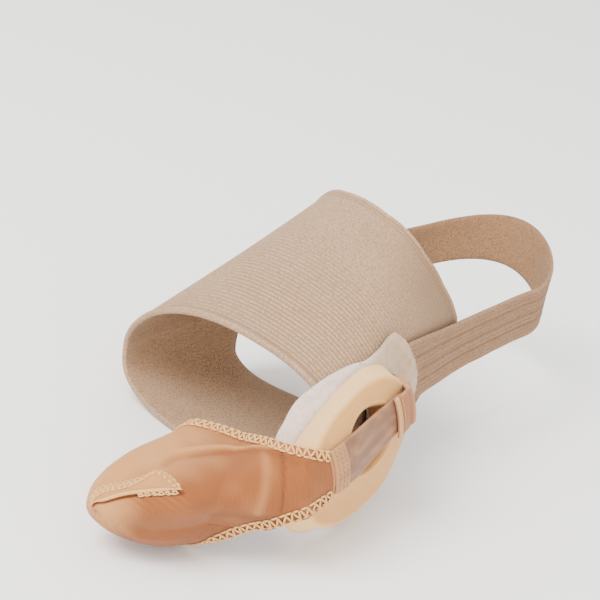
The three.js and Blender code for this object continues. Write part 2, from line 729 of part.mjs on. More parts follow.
// Knit tab that holds the link's rear end and folds down over the ring's rear wall to the felt
function anchorTab() {
  const front = LINK_REAR - TAB_LAP / 2;
  const middle = linkRise(LINK_REAR) - TAB_DROP;
  const loops = shares(9).map((share) => {
    const rise = middle + (share - 0.5) * TAB_HEIGHT;
    const turn = ringRearAt(rise, -RING_ROUND) - KNIT_WALL;
    const over = shares(5).map((step) => mix(front, turn, step));
    const side = RING_SIDE.slice(1);
    return [
      ...over.map((x) => padPoint(x, rise, TAB_OUT)),
      ...side.map((row) => offRingSide(row, rise, TAB_CLEARANCE + KNIT_WALL)),
      ...side.slice().reverse().map((row) => offRingSide(row, rise, TAB_CLEARANCE)),
      ...over.slice().reverse().map((x) => padPoint(x, rise, TAB_IN)),
    ];
  });
  return piece('anchor_tab', gridGeometry(loops, { flatEnds: true }), '#d09a78', 0.95);
}

// Distance of the sleeve's inner face from the toe: it climbs as a tent to the ring's face
function sleeveLift(x, t) {
  const outside = Math.max(outsideRing(x, riseAt(x, t)) - TENT_MARGIN, 0);
  const under = 1 - THREE.MathUtils.smoothstep(t, 180, 180 + TENT_UNDER);
  const slope = clamp(1 - outside / TENT_LENGTH, 0, 1);
  const tent = (RING_FACE + TENT_CLEARANCE) * slope ** TENT_POWER * under;
  return Math.hypot(tent, SKIN_CLEARANCE);
}

// Places along the sleeve's rim: each row of its table, with short steps between them
function sleeveRim() {
  const reachLength = TONGUE_END - TOE_ROOT;
  const places = [];
  for (let i = 0; i + 1 < SLEEVE_RIM.length; i += 1) {
    const from = SLEEVE_RIM[i];
    const to = SLEEVE_RIM[i + 1];
    const round = (to.angle - from.angle) * ANGLE_LENGTH;
    const back = (to.reach - from.reach) * reachLength;
    const steps = Math.ceil(Math.hypot(round, back) / RIM_STEP);
    for (const share of shares(steps).slice(0, -1)) {
      const reach = mix(from.reach, to.reach, share);
      places.push({ t: mix(from.angle, to.angle, share), x: TOE_ROOT + reach * reachLength });
    }
  }
  return places;
}

// Knitted cap over the big toe, with a tongue that lies over the ring's front to the link.
// Its lines fan out from even angles at the tip to even steps along the rim.
function toeSleeve() {
  const along = 19;
  const rim = sleeveRim();
  const place = (share, j, out) => {
    const even = 360 * j / rim.length;
    const t = mix(even, rim[j].t, THREE.MathUtils.smoothstep(share, 0, FAN_END));
    const x = mix(TOE_TIP, rim[j].x, share ** NOSE_CROWDING);
    const point = toePoint(x, t);
    return point.addScaledVector(normalOf(toePoint, x, t), sleeveLift(x, t) + out);
  };
  const rowAt = (share, out) => rim.map((_, j) => place(share, j, out));
  const rows = [
    ...shares(along).slice(1).map((share) => rowAt(share, KNIT_WALL)),
    ...shares(along).slice(1).reverse().map((share) => rowAt(share, 0)),
  ];
  const tip = toePoint(TOE_TIP, 0);
  const startPole = tip.clone().setX(TOE_TIP - SKIN_CLEARANCE - KNIT_WALL);
  const endPole = tip.clone().setX(TOE_TIP - SKIN_CLEARANCE);
  return piece('toe_sleeve', gridGeometry(rows, { startPole, endPole }), '#d8a67f', 0.95);
}

const corrector = new THREE.Group();
corrector.add(
  instepBand(),
  heelStrap(),
  toeSleeve(),
  elasticLink(),
  anchorTab(),
  padRing(),
  feltBacking(),
);

export default corrector;
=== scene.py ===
"""Looks of a bunion corrector in its worn form: ribbed instep band, heel strap, toe sleeve, pad and link.

Every piece is laid on one foot form by the same values as the model it stands for, in metres.
"""

import logging
import math
from dataclasses import dataclass, field
from enum import Enum
from typing import Callable, Sequence

import bpy
import numpy as np
from mathutils import Matrix, Vector

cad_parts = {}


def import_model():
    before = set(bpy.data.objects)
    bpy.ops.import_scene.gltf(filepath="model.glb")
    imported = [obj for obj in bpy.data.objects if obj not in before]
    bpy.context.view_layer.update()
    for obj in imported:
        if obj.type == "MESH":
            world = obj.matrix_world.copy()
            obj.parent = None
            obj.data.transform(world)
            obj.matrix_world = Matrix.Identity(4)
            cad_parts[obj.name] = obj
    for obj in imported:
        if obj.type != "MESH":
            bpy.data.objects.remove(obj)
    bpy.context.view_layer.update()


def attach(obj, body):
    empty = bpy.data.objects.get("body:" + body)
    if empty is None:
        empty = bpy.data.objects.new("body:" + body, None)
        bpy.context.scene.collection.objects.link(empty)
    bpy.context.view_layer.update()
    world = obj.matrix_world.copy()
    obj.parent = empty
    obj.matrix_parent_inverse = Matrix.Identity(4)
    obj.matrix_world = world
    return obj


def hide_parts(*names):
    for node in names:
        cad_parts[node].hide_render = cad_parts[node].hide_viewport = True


LOG = logging.getLogger("corrector")
MM = 0.001
Array = np.ndarray
Piece = bpy.types.Object
Socket = bpy.types.NodeSocket
Table = tuple[tuple[float, ...], ...]


def smoothstep(value: Array, low: float, high: float) -> Array:
    """Smooth step from 0 at low to 1 at high."""
    share = np.clip((value - low) / (high - low), 0.0, 1.0)
    return share * share * (3.0 - 2.0 * share)


def signed_power(value: Array, power: float) -> Array:
    """Power of a signed number that keeps its sign."""
    return np.sign(value) * np.abs(value) ** power


def bump_line(value: Array, centre: float, width: float) -> Array:
    """Rounded ridge of height 1 at centre, which falls to about a third a width away."""
    return np.exp(-(((value - centre) / width) ** 2))


def ridges(value: Array, table: Table) -> Array:
    """Sum of rounded ridges, each given by its height, centre and width."""
    return sum(height * bump_line(value, centre, width) for height, centre, width in table)


def mottle(points: Array, pitch: float, seed: float = 0.0) -> Array:
    """Uneven soft waves over space, from about -1 to 1.

    Args:
        points: Places in millimetres, with x, y and z last.
        pitch: Typical length of a wave in millimetres.
        seed: Shift that gives another pattern.

    Returns:
        One value for each place.
    """
    total = np.zeros(points.shape[:-1])
    turns = ((1.0, 0.7, 0.4), (-0.6, 1.1, 0.8), (0.9, -0.5, 1.2), (0.3, 1.3, -0.9), (-1.2, 0.2, 0.7))
    for k, turn in enumerate(turns):
        phase = points @ (np.array(turn) * 2.0 * math.pi / pitch) + seed * (k + 1.7) + 2.1 * k
        total += np.sin(phase + 1.3 * np.sin(0.37 * phase + k))
    return total / len(turns)


def unit(vectors: Array) -> Array:
    """Vectors brought to length 1."""
    return vectors / np.maximum(np.linalg.norm(vectors, axis=-1, keepdims=True), 1e-9)


def running(points: Array) -> Array:
    """Running length along a line of points, from 0 at the first."""
    return np.concatenate([[0.0], np.cumsum(np.linalg.norm(np.diff(points, axis=0), axis=-1))])


def follow(at: Array, lengths: Array, line: Array) -> Array:
    """Values of a line's columns at places between its running lengths."""
    return np.stack([np.interp(at, lengths, column) for column in line.T], -1)


def between(first: Array, last: Array, share: Array) -> Array:
    """Places on the way from a first line's points to a last one's, at shares of the way."""
    share = share[None, :, None]
    return first[:, None] * (1 - share) + last[:, None] * share


def eased(values: Array, reach: int) -> Array:
    """A line of values, each as the mean of its neighbours on both sides.

    Args:
        values: Rows of values along the line.
        reach: Number of neighbours on each side. Past the ends the line goes on mirrored.

    Returns:
        As many rows again.
    """
    ahead, beyond = 2 * values[:1] - values[reach:0:-1], 2 * values[-1:] - values[-2:-reach - 2:-1]
    wide = np.concatenate([ahead, values, beyond])
    kernel = np.ones(2 * reach + 1) / (2 * reach + 1)
    return np.stack([np.convolve(column, kernel, "valid") for column in wide.T], -1)


def near_end(share: Array) -> Array:
    """Share of the way to the nearer of two ends."""
    return np.minimum(share, 1 - share)


# Forms that the pieces lie on.


@dataclass(frozen=True)
class FootForm:
    """Foot form under the corrector, in millimetres: +X to the heel, -Y to the inner side, +Z up."""

    length: float = 240.0
    ball_width: float = 100.0
    instep_height: float = 80.0
    top_power: float = 2.3
    sole_power: float = 3.4
    ridge_power: float = 1.5
    toe_nose: float = 19.0
    toe_short: float = 2.5
    toe_spring: float = 3.5
    nose_power: float = 2.2
    nose_height: float = 0.4
    root_share: float = -0.35
    # at, inner, outer, top, ridge, widest, arch, cleft
    table: Table = (
        (-0.5, 0.4, 0.1, 0.26, -0.28, 0.12, 0, -0.15),
        (-0.458, 0.43, 0.2, 0.31, -0.3, 0.13, 0, -0.175),
        (-0.417, 0.465, 0.3, 0.335, -0.29, 0.14, 0, -0.195),
        (-0.333, 0.51, 0.38, 0.38, -0.27, 0.165, 0, -0.225),
        (-0.25, 0.53, 0.44, 0.4625, -0.23, 0.19, 0, -0.21),
        (-0.167, 0.51, 0.47, 0.5875, -0.16, 0.21, 0, -0.2),
        (-0.083, 0.45, 0.46, 0.725, -0.1, 0.24, 0.05, -0.2),
        (0, 0.39, 0.43, 0.8625, -0.05, 0.26, 0.11, -0.2),
        (0.083, 0.35, 0.39, 0.9875, -0.01, 0.29, 0.14, -0.2),
        (0.167, 0.32, 0.35, 1.125, 0.02, 0.31, 0.14, -0.2),
        (0.25, 0.31, 0.32, 1.3, 0.03, 0.325, 0.12, -0.2),
        (0.333, 0.3, 0.3, 1.5, 0.03, 0.325, 0.08, -0.2),
    )

    @property
    def toe_tip(self) -> float:
        """Station of the big toe's tip."""
        return self.toe_short - self.length / 2

    @property
    def toe_root(self) -> float:
        """Station of the big toe's root."""
        return self.root_share * self.length

    def columns(self, x: Array) -> list[Array]:
        """Smoothly interpolated columns of the table at stations x, without the first."""
        rows = np.array(self.table)
        at = rows[:, 0]
        share = x / self.length
        i = np.clip(np.searchsorted(at, share, side="right") - 1, 0, len(at) - 2)
        span = at[i + 1] - at[i]
        u = (share - at[i]) / span
        low = np.maximum(np.arange(len(at)) - 1, 0)
        high = np.minimum(np.arange(len(at)) + 1, len(at) - 1)
        made = []
        for column in rows.T[1:]:
            slope = (column[high] - column[low]) / (at[high] - at[low])
            a, b = column[i], column[i + 1]
            rise = slope[i] * span * (u - 2 * u * u + u**3)
            fall = slope[i + 1] * span * (u**3 - u * u)
            value = a + (b - a) * (3 * u * u - 2 * u**3) + rise + fall
            value = np.where(u < 0, a + slope[i] * span * u, value)
            made.append(np.where(u > 1, b + slope[i + 1] * span * (u - 1), value))
        return made

    def section(self, x: Array) -> dict[str, Array]:
        """Sizes of the foot's section at stations x, in millimetres."""
        inner, outer, top, ridge, widest, arch, cleft = self.columns(x)
        low, high = -self.ball_width * inner, self.ball_width * outer
        return {
            "inner": low,
            "middle": (low + high) / 2,
            "half": (high - low) / 2,
            "top": self.instep_height * top,
            "ridge": self.ball_width * ridge,
            "widest": self.instep_height * widest,
            "arch": self.instep_height * arch,
            "cleft": self.ball_width * cleft,
        }

    def foot(self, x: Array, t: Array) -> Array:
        """Points on the foot at stations x and angles t: 0 outer side, 90 top, 180 inner side."""
        size = self.section(x)
        c, s = np.cos(np.radians(t)), np.sin(np.radians(t))
        power = np.where(s >= 0, 2 / self.top_power, 2 / self.sole_power)
        across = np.sign(c) * np.abs(c) ** power
        up = np.abs(s) ** power
        y = size["middle"] + size["half"] * across
        above_y = y + (size["ridge"] - size["middle"]) * up**self.ridge_power
        above_z = size["widest"] + up * (size["top"] - size["widest"])
        below_z = size["widest"] - up * (size["widest"] - size["arch"] * (1 - across) / 2)
        return np.stack([x + 0 * t, np.where(s < 0, y, above_y), np.where(s < 0, below_z, above_z)], -1)

    def toe(self, x: Array, t: Array) -> Array:
        """Points on the big toe, whose outer side is closed at the cleft."""
        size = self.section(x)
        c, s = np.cos(np.radians(t)), np.sin(np.radians(t))
        power = 2 / self.top_power
        centre = (size["inner"] + size["cleft"]) / 2
        upper_y = size["ridge"] + np.abs(c) ** power * (size["cleft"] - size["ridge"])
        upper_z = size["widest"] + np.abs(s) ** power * (size["top"] - size["widest"])
        lower_y = centre + signed_power(c, power) * (size["cleft"] - centre)
        spring = self.toe_spring * np.clip((self.toe_root - x) / (self.toe_root - self.toe_tip), 0, 1)
        lower_z = size["widest"] - (size["widest"] - spring) * np.abs(s) ** power
        above = s >= 0
        y, z = np.where(above, upper_y, lower_y), np.where(above, upper_z, lower_z)
        point = np.stack([x + 0 * t, y, z], -1)
        point = np.where((above & (c < 0))[..., None], self.foot(x, t), point)
        short = np.clip(1 - (x - self.toe_tip) / self.toe_nose, 0, 1)
        full = ((1 - short**self.nose_power) ** (1 / self.nose_power) + 0 * t)[..., None]
        height = (size["top"] + size["widest"]) * self.nose_height
        axis = np.stack([x + 0 * t, centre + 0 * t, height + 0 * t], -1)
        return point * full + axis * (1 - full)

    def normal(self, surface: Callable[[Array, Array], Array], x: Array, t: Array) -> Array:
        """Outward normals of a surface given by stations and angles."""
        step = 0.05
        along = surface(x + step, t) - surface(x - step, t)
        turn = surface(x, t + 4 * step) - surface(x, t - 4 * step)
        return unit(np.cross(turn, along))

    def off_foot(self, x: Array, t: Array, out: Array) -> Array:
        """Points a distance out from the foot."""
        return self.foot(x, t) + self.normal(self.foot, x, t) * np.asarray(out)[..., None]


@dataclass(frozen=True)
class Layers:
    """Distances of the layers from the foot, in millimetres."""

    skin: float = 0.2
    gap: float = 0.3
    band_wall: float = 1.6
    hem_rise: float = 0.5
    strap_wall: float = 1.8
    felt_wall: float = 2.4
    ring_wall: float = 8.0
    knit_wall: float = 1.2

    @property
    def band_out(self) -> float:
        """Outer face of the band."""
        return self.skin + self.band_wall

    @property
    def hem_out(self) -> float:
        """Outer face of the band's hems."""
        return self.band_out + self.hem_rise

    @property
    def over_band(self) -> float:
        """Inner face of what lies on the band."""
        return self.hem_out + self.gap

    @property
    def over_strap(self) -> float:
        """Inner face of the felt where it lies on the strap."""
        return self.over_band + self.strap_wall + 2 * self.gap

    @property
    def ring_in(self) -> float:
        """Inner face of the ring."""
        return self.over_band + self.felt_wall + self.gap

    @property
    def ring_face(self) -> float:
        """Outer face of the ring."""
        return self.ring_in + self.ring_wall

    @property
    def link_in(self) -> float:
        """Inner face of the link."""
        return self.ring_face + self.gap

    @property
    def link_out(self) -> float:
        """Outer face of the link."""
        return self.link_in + self.knit_wall

    @property
    def tab_in(self) -> float:
        """Inner face of the tab over the link."""
        return self.link_out + 1.5 * self.gap


class PadSeat:
    """Inner side of the foot, measured along the foot and up the ring's face."""

    LOW = -104.0
    HIGH = 30.0
    STEP = 0.5
    TOP_ANGLE = 84.0
    MOST_RISE = 90.0

    def __init__(self, form: FootForm, layers: Layers) -> None:
        """Measures the seat once, on a fine grid.

        Args:
            form: The foot form.
            layers: The layers, for the height of the ring's face.
        """
        self.form = form
        self.stations = np.arange(self.LOW, self.HIGH + self.STEP / 2, self.STEP)
        self.angles = np.arange(180.0, self.TOP_ANGLE - 0.5, -1.0)
        x, t = np.meshgrid(self.stations, self.angles, indexing="ij")
        foot = form.foot(x, t)
        normal = form.normal(form.foot, x, t)
        face = foot + normal * layers.ring_face
        normal[..., 2] = np.maximum(normal[..., 2], 0)
        normal = unit(normal)
        steps = np.linalg.norm(np.diff(face, axis=1), axis=-1)
        self.lengths = np.concatenate([np.zeros((len(x), 1)), np.cumsum(steps, axis=1)], axis=1)
        self.rises = np.arange(0.0, self.MOST_RISE, self.STEP)
        columns = np.concatenate([foot, normal], axis=-1)
        self.grid = np.stack([follow(self.rises, *line) for line in zip(self.lengths, columns)])

    def _blend(self, grid: Array, u: Array, v: Array) -> Array:
        """Values of a grid at fractional places u and v, blended from the four around."""
        u = np.clip(u, 0, grid.shape[0] - 1.001)
        v = np.clip(v, 0, grid.shape[1] - 1.001)
        i, j = u.astype(int), v.astype(int)
        a, b = u - i, v - j
        if grid.ndim > 2:
            a, b = a[..., None], b[..., None]
        low = grid[i, j] * (1 - b) + grid[i, j + 1] * b
        high = grid[i + 1, j] * (1 - b) + grid[i + 1, j + 1] * b
        return low * (1 - a) + high * a

    def place(self, x: Array, rise: Array, out: Array) -> Array:
        """Points at stations x, rises up the ring's face and distances out from the foot."""
        x, rise, out = np.broadcast_arrays(*(np.asarray(value, float) for value in (x, rise, out)))
        both = self._blend(self.grid, (x - self.LOW) / self.STEP, np.maximum(rise, 0) / self.STEP)
        point = both[..., :3] + unit(both[..., 3:]) * out[..., None]
        point[..., 2] += np.minimum(rise, 0)
        return point

    def normal(self, x: Array, rise: Array) -> Array:
        """Outward normals of the seat."""
        x, rise = np.broadcast_arrays(*(np.asarray(value, float) for value in (x, rise)))
        both = self._blend(self.grid, (x - self.LOW) / self.STEP, np.maximum(rise, 0) / self.STEP)
        return unit(both[..., 3:])

    def rise_at(self, x: Array, t: Array) -> Array:
        """Rises on the seat that belong to angles on the foot."""
        above = self._blend(self.lengths, (x - self.LOW) / self.STEP, np.clip(180.0 - t, 0, None))
        below = self.form.foot(x, t)[..., 2] - self.form.section(x)["widest"]
        return np.where(t >= 180, below, above)


@dataclass(frozen=True)
class RingOutline:
    """Outline of the foam ring and its hole, on the pad's seat."""

    joint: float = -48.0
    length: float = 47.0
    height: float = 43.0
    tilt: float = 8.0
    back: float = 2.0
    sit: float = 0.625
    power: float = 2.8
    bevel: float = 4.5
    round: float = 1.4
    hole_diameter: float = 21.5
    hole_back: float = 1.5
    hole_rise: float = 4.64
    ramp_gap: float = 2.5
    ramp: float = 6.0

    @property
    def centre(self) -> tuple[float, float]:
        """Station and rise of the ring's centre."""
        return self.joint + self.back, self.sit * self.height / 2

    @property
    def hole_centre(self) -> tuple[float, float]:
        """Station and rise of the hole's centre."""
        return self.centre[0] + self.hole_back, self.centre[1] + self.hole_rise

    def edge(self, turn: Array, grow: Array) -> Array:
        """Places on the outline, grown by a margin, at turns in radians."""
        a = signed_power(np.cos(turn), 2 / self.power) * (self.length / 2 + grow)
        b = signed_power(np.sin(turn), 2 / self.power) * (self.height / 2 + grow)
        c, s = math.cos(math.radians(self.tilt)), math.sin(math.radians(self.tilt))
        return np.stack([self.centre[0] + a * c - b * s, self.centre[1] + a * s + b * c], -1)

    def hole(self, turn: Array, radius: Array) -> Array:
        """Places on a circle about the hole's centre."""
        x, rise = self.hole_centre
        return np.stack([x + radius * np.cos(turn), rise + radius * np.sin(turn)], -1)

    def outside(self, x: Array, rise: Array) -> Array:
        """How far places lie outside the face's outline, along the line from its centre."""
        c, s = math.cos(math.radians(self.tilt)), math.sin(math.radians(self.tilt))
        back, up = x - self.centre[0], rise - self.centre[1]
        a = np.abs(back * c + up * s) / (self.length / 2)
        b = np.abs(up * c - back * s) / (self.height / 2)
        size = (a**self.power + b**self.power) ** (1 / self.power)
        return np.hypot(back, up) * (1 - 1 / np.maximum(size, 1e-6))

    def rear(self, rise: Array, grow: float) -> Array:
        """Stations where the outline, grown by a margin, passes rises on its rear side."""
        turn = np.linspace(-math.pi / 2 - 0.2, math.pi / 2 - 0.2, 400)
        places = self.edge(turn, grow)
        order = np.argsort(places[:, 1])
        return np.interp(rise, places[order, 1], places[order, 0])

    @property
    def rear_most(self) -> float:
        """Rearmost station of the ring's foot."""
        return float(self.edge(np.linspace(0, 2 * math.pi, 361), self.bevel)[:, 0].max())

    @property
    def ramp_start(self) -> float:
        """Station where the felt behind the ring starts to climb onto the strap."""
        return self.rear_most + self.ramp_gap


# Meshes made of loops of points.


class End(Enum):
    """How the first and last loops of a shell are closed."""

    JOINED = "joined"
    FLAT = "flat"
    POLES = "poles"


def loop_faces(rows: int, round_: int, end: End) -> list[tuple[int, ...]]:
    """Faces between rows of closed loops, with their ends closed.

    Args:
        rows: Number of loops.
        round_: Number of points in a loop.
        end: How the first and the last loop close.

    Returns:
        Faces as tuples of point numbers. Poles are the two points after the loops.
    """
    faces: list[tuple[int, ...]] = []
    last = rows if end is End.JOINED else rows - 1
    for i in range(last):
        a, b = i * round_, ((i + 1) % rows) * round_
        for j in range(round_):
            k = (j + 1) % round_
            faces.append((a + j, a + k, b + k, b + j))
    tail = (rows - 1) * round_
    if end is End.FLAT:
        for j in range(round_ // 2 - 1):
            faces.append((j, round_ - 1 - j, round_ - 2 - j, j + 1))
            faces.append((tail + j, tail + j + 1, tail + round_ - 2 - j, tail + round_ - 1 - j))
    if end is End.POLES:
        first, second = rows * round_, rows * round_ + 1
        for j in range(round_):
            k = (j + 1) % round_
            faces.append((first, k, j))
            faces.append((second, tail + j, tail + k))
    return faces


def deselect() -> None:
    """Leaves nothing selected."""
    bpy.ops.object.select_all(action="DESELECT")


def outward(mesh: bpy.types.Mesh) -> None:
    """Turns a closed mesh so that its faces point out."""
    count = len(mesh.vertices)
    points = np.zeros(count * 3)
    mesh.vertices.foreach_get("co", points)
    points = points.reshape(-1, 3)
    mesh.calc_loop_triangles()
    corners = np.zeros(len(mesh.loop_triangles) * 3, np.int32)
    mesh.loop_triangles.foreach_get("vertices", corners)
    a, b, c = points[corners.reshape(-1, 3)].transpose(1, 0, 2)
    if np.einsum("ij,ij->i", a, np.cross(b, c)).sum() < 0:
        mesh.flip_normals()


def make_object(name: str, points: Array, faces: Sequence[tuple[int, ...]]) -> Piece:
    """A smooth-shaded mesh object at the origin.

    Args:
        name: Name of the piece.
        points: Places in millimetres.
        faces: Faces as point numbers.

    Returns:
        The new object.
    """
    mesh = bpy.data.meshes.new(name)
    mesh.from_pydata((points * MM).tolist(), [], list(faces))
    mesh.update()
    outward(mesh)
    mesh.shade_smooth()
    piece = bpy.data.objects.new(name, mesh)
    bpy.context.scene.collection.objects.link(piece)
    return piece


def set_tone(piece: Piece, tone: Array) -> None:
    """Writes how light or dark each point of a piece is: mostly painted light and shade, with some random
    mottle.
    """
    shade = piece.data.attributes.new("tone", "FLOAT", "POINT")
    shade.data.foreach_set("value", tone.astype(np.float32))


@dataclass
class Shell:
    """A closed soft wall made of rows of loops, with a surface pattern's own coordinates.

    rows holds the places in millimetres, along and round the loops' lengths on the cloth in
    millimetres, and tone how light (1) or dark (-1) the cloth is there: mostly painted light and shade, with
    some random mottle.
    """

    name: str
    rows: Array
    along: Array
    round: Array
    tone: Array
    end: End
    poles: tuple[Array, ...] = ()

    def build(self) -> Piece:
        """Makes the object, with its UV map in millimetres and its tone attribute."""
        count, round_ = self.rows.shape[:2]
        points = self.rows.reshape(-1, 3)
        tone = self.tone.ravel()
        if self.poles:
            points = np.concatenate([points, np.array(self.poles)])
            tone = np.concatenate([tone, np.zeros(len(self.poles))])
        piece = make_object(self.name, points, loop_faces(count, round_, self.end))
        set_tone(piece, tone)
        mesh = piece.data
        corners = np.zeros(len(mesh.loops), np.int32)
        mesh.loops.foreach_get("vertex_index", corners)
        spare = np.zeros(len(self.poles))
        u = np.concatenate([self.along.ravel(), spare])[corners]
        v = np.concatenate([self.round.ravel(), spare])[corners]
        self._unwrap(mesh, corners, u, v)
        layer = mesh.uv_layers.new(name="cloth")
        layer.data.foreach_set("uv", np.stack([u, v], -1).astype(np.float32).ravel())
        return piece

    def _unwrap(self, mesh: bpy.types.Mesh, corners: Array, u: Array, v: Array) -> None:
        """Carries the lengths on past the seam where the last loop or point meets the first."""
        count, round_ = self.rows.shape[:2]
        starts = np.zeros(len(mesh.polygons), np.int32)
        totals = np.zeros(len(mesh.polygons), np.int32)
        mesh.polygons.foreach_get("loop_start", starts)
        mesh.polygons.foreach_get("loop_total", totals)
        owner = np.repeat(np.arange(len(starts)), totals)
        row, column = corners // round_, corners % round_
        for index, length, values, span in (
            (row, count, u, self.along.max() + (self.along.max() / max(count - 1, 1))),
            (column, round_, v, self.round.max() + (self.round.max() / max(round_ - 1, 1))),
        ):
            high = np.full(len(starts), -1)
            np.maximum.at(high, owner, index)
            crossing = (high[owner] == length - 1) & (index == 0)
            values[crossing] += span


def lengths_along(rows: Array) -> Array:
    """Running length from row to row, taken at the middle of the loops."""
    return np.repeat(running(rows.mean(axis=1))[:, None], rows.shape[1], axis=1)


def lengths_round(rows: Array) -> Array:
    """Running length round each loop."""
    steps = np.linalg.norm(np.diff(rows, axis=1), axis=-1)
    return np.concatenate([np.zeros((len(rows), 1)), np.cumsum(steps, axis=1)], axis=1)


def wall(name: str, rows: Array, tone: Array, end: End) -> Piece:
    """Builds a closed soft wall whose pattern is measured on its own rows.

    Args:
        name: Name of the piece.
        rows: Loops of places in millimetres.
        tone: How light or dark it is at each.
        end: How the first and the last loop close.

    Returns:
        The new object.
    """
    return Shell(name, rows, lengths_along(rows), lengths_round(rows), tone, end).build()


# Finishes of cloth, foam, thread and floor.


class Shader:
    """A material under construction, on the UV map and attributes of its piece."""

    def __init__(self, name: str) -> None:
        """Starts a material with one shader.

        Args:
            name: Name of the material.
        """
        self.material = bpy.data.materials.new(name)
        self.material.use_nodes = True
        self.tree = self.material.node_tree
        self.tree.nodes.clear()
        self.surface = self.tree.nodes.new("ShaderNodeBsdfPrincipled")
        output = self.tree.nodes.new("ShaderNodeOutputMaterial")
        self.tree.links.new(self.surface.outputs[0], output.inputs[0])

    def node(self, kind: str, **settings: object) -> bpy.types.Node:
        """Adds a node, with its settings."""
        made = self.tree.nodes.new(kind)
        for key, value in settings.items():
            setattr(made, key, value)
        return made

    def join(self, source: object, target: object) -> None:
        """Links a socket, or sets a value, on an input."""
        if isinstance(source, Socket):
            self.tree.links.new(source, target)
        else:
            target.default_value = source

    def math(self, operation: str, a: object, b: object = 0.0) -> Socket:
        """One step of arithmetic."""
        made = self.node("ShaderNodeMath", operation=operation)
        self.join(a, made.inputs[0])
        self.join(b, made.inputs[1])
        return made.outputs[0]

    def scaled(self, value: object, by: float) -> Socket:
        """A value times a number."""
        return self.math("MULTIPLY", value, by)

    def mix(self, share: object, a: object, b: object) -> Socket:
        """A colour between two."""
        made = self.node("ShaderNodeMix", data_type="RGBA")
        self.join(share, made.inputs["Factor"])
        self.join(a, made.inputs["A"])
        self.join(b, made.inputs["B"])
        return made.outputs["Result"]

    def cloth(self) -> tuple[Socket, Socket]:
        """Lengths along and round the cloth, in millimetres."""
        source = self.node("ShaderNodeUVMap", uv_map="cloth")
        parts = self.node("ShaderNodeSeparateXYZ")
        self.join(source.outputs[0], parts.inputs[0])
        return parts.outputs[0], parts.outputs[1]

    def stripes(self, length: object, pitch: float) -> Socket:
        """Soft stripes from 0 to 1 with a pitch in millimetres."""
        turned = self.math("MULTIPLY", length, 2 * math.pi / pitch)
        return self.math("MULTIPLY_ADD", self.math("SINE", turned), 0.5)

    def noise(self, size: float, detail: float = 2.0, rough: float = 0.5) -> Socket:
        """Noise in space with a grain size in millimetres."""
        where = self.node("ShaderNodeTexCoord")
        made = self.node("ShaderNodeTexNoise")
        self.join(where.outputs["Object"], made.inputs["Vector"])
        made.inputs["Scale"].default_value = 1 / (size * MM)
        made.inputs["Detail"].default_value = detail
        made.inputs["Roughness"].default_value = rough
        return made.outputs[0]

    def contrast(self, value: object, low: float, high: float) -> Socket:
        """Stretches a value so that a range of it fills 0 to 1."""
        made = self.node("ShaderNodeMapRange")
        self.join(value, made.inputs["Value"])
        made.inputs["From Min"].default_value = low
        made.inputs["From Max"].default_value = high
        return made.outputs[0]

    def tone(self) -> Socket:
        """How light or dark the piece is, from its attribute: painted light and shade, with some random
        mottle.
        """
        return self.node("ShaderNodeAttribute", attribute_name="tone").outputs["Fac"]

    def tinted(self, base: str, dark: str, light: str) -> Socket:
        """The base colour, carried to the dark or the light one by the piece's tone, which paints light and
        shade with some random mottle.
        """
        tone = self.tone()
        down = self.math("MAXIMUM", self.scaled(tone, -1.0), 0.0)
        up = self.math("MAXIMUM", tone, 0.0)
        return self.mix(up, self.mix(down, linear(base), linear(dark)), linear(light))

    def bump(self, height: object, depth: float) -> Socket:
        """A bump of a depth in millimetres."""
        made = self.node("ShaderNodeBump")
        made.inputs["Distance"].default_value = depth * MM
        self.join(height, made.inputs["Height"])
        return made.outputs[0]

    def finish(
        self,
        colour: object,
        height: object,
        depth: float,
        rough: float,
        sheen: float = 0.0,
        soft: float = 0.0,
    ) -> bpy.types.Material:
        """Sets the shader and returns the material.

        Args:
            colour: Colour, or the socket that gives it.
            height: Socket of the surface's height.
            depth: Depth of that height in millimetres.
            rough: Roughness.
            sheen: Weight of the fuzz that catches light at the edges.
            soft: Weight of light passing under the surface.

        Returns:
            The finished material.
        """
        self.join(colour, self.surface.inputs["Base Color"])
        self.join(self.bump(height, depth), self.surface.inputs["Normal"])
        settings = {
            "Roughness": rough,
            "Specular IOR Level": 0.25,
            "Sheen Weight": sheen,
            "Sheen Roughness": 0.6,
            "Subsurface Weight": soft,
            "Subsurface Radius": (0.004, 0.002, 0.001),
            "Subsurface Scale": 0.5,
        }
        for name, value in settings.items():
            self.surface.inputs[name].default_value = value
        return self.material


def linear(colour: str) -> tuple[float, float, float, float]:
    """A #rrggbb colour as linear light, opaque."""
    parts = [int(colour[i : i + 2], 16) / 255 for i in (1, 3, 5)]
    return (*(c / 12.92 if c <= 0.04045 else ((c + 0.055) / 1.055) ** 2.4 for c in parts), 1.0)


@dataclass(frozen=True)
class Finish:
    """Name of a finish and its colours: the base, and what a dark and a light tone carry it to, the colours
    of painted shade and painted highlight; the dark one also takes random speckle and mottle.
    """

    name: str
    base: str
    dark: str
    light: str

    def toned(self, shader: Shader) -> Socket:
        """The colour by the piece's tone."""
        return shader.tinted(self.base, self.dark, self.light)

    def stained(self, shader: Shader, colour: object, value: object, amount: float) -> Socket:
        """Carries a colour to the dark one by an amount of a value."""
        return shader.mix(shader.scaled(value, amount), colour, linear(self.dark))

    def lit(self, shader: Shader, colour: object, value: object, amount: float) -> Socket:
        """Paints a highlight: carries a colour to the light one by an amount of a value."""
        return shader.mix(shader.scaled(value, amount), colour, linear(self.light))


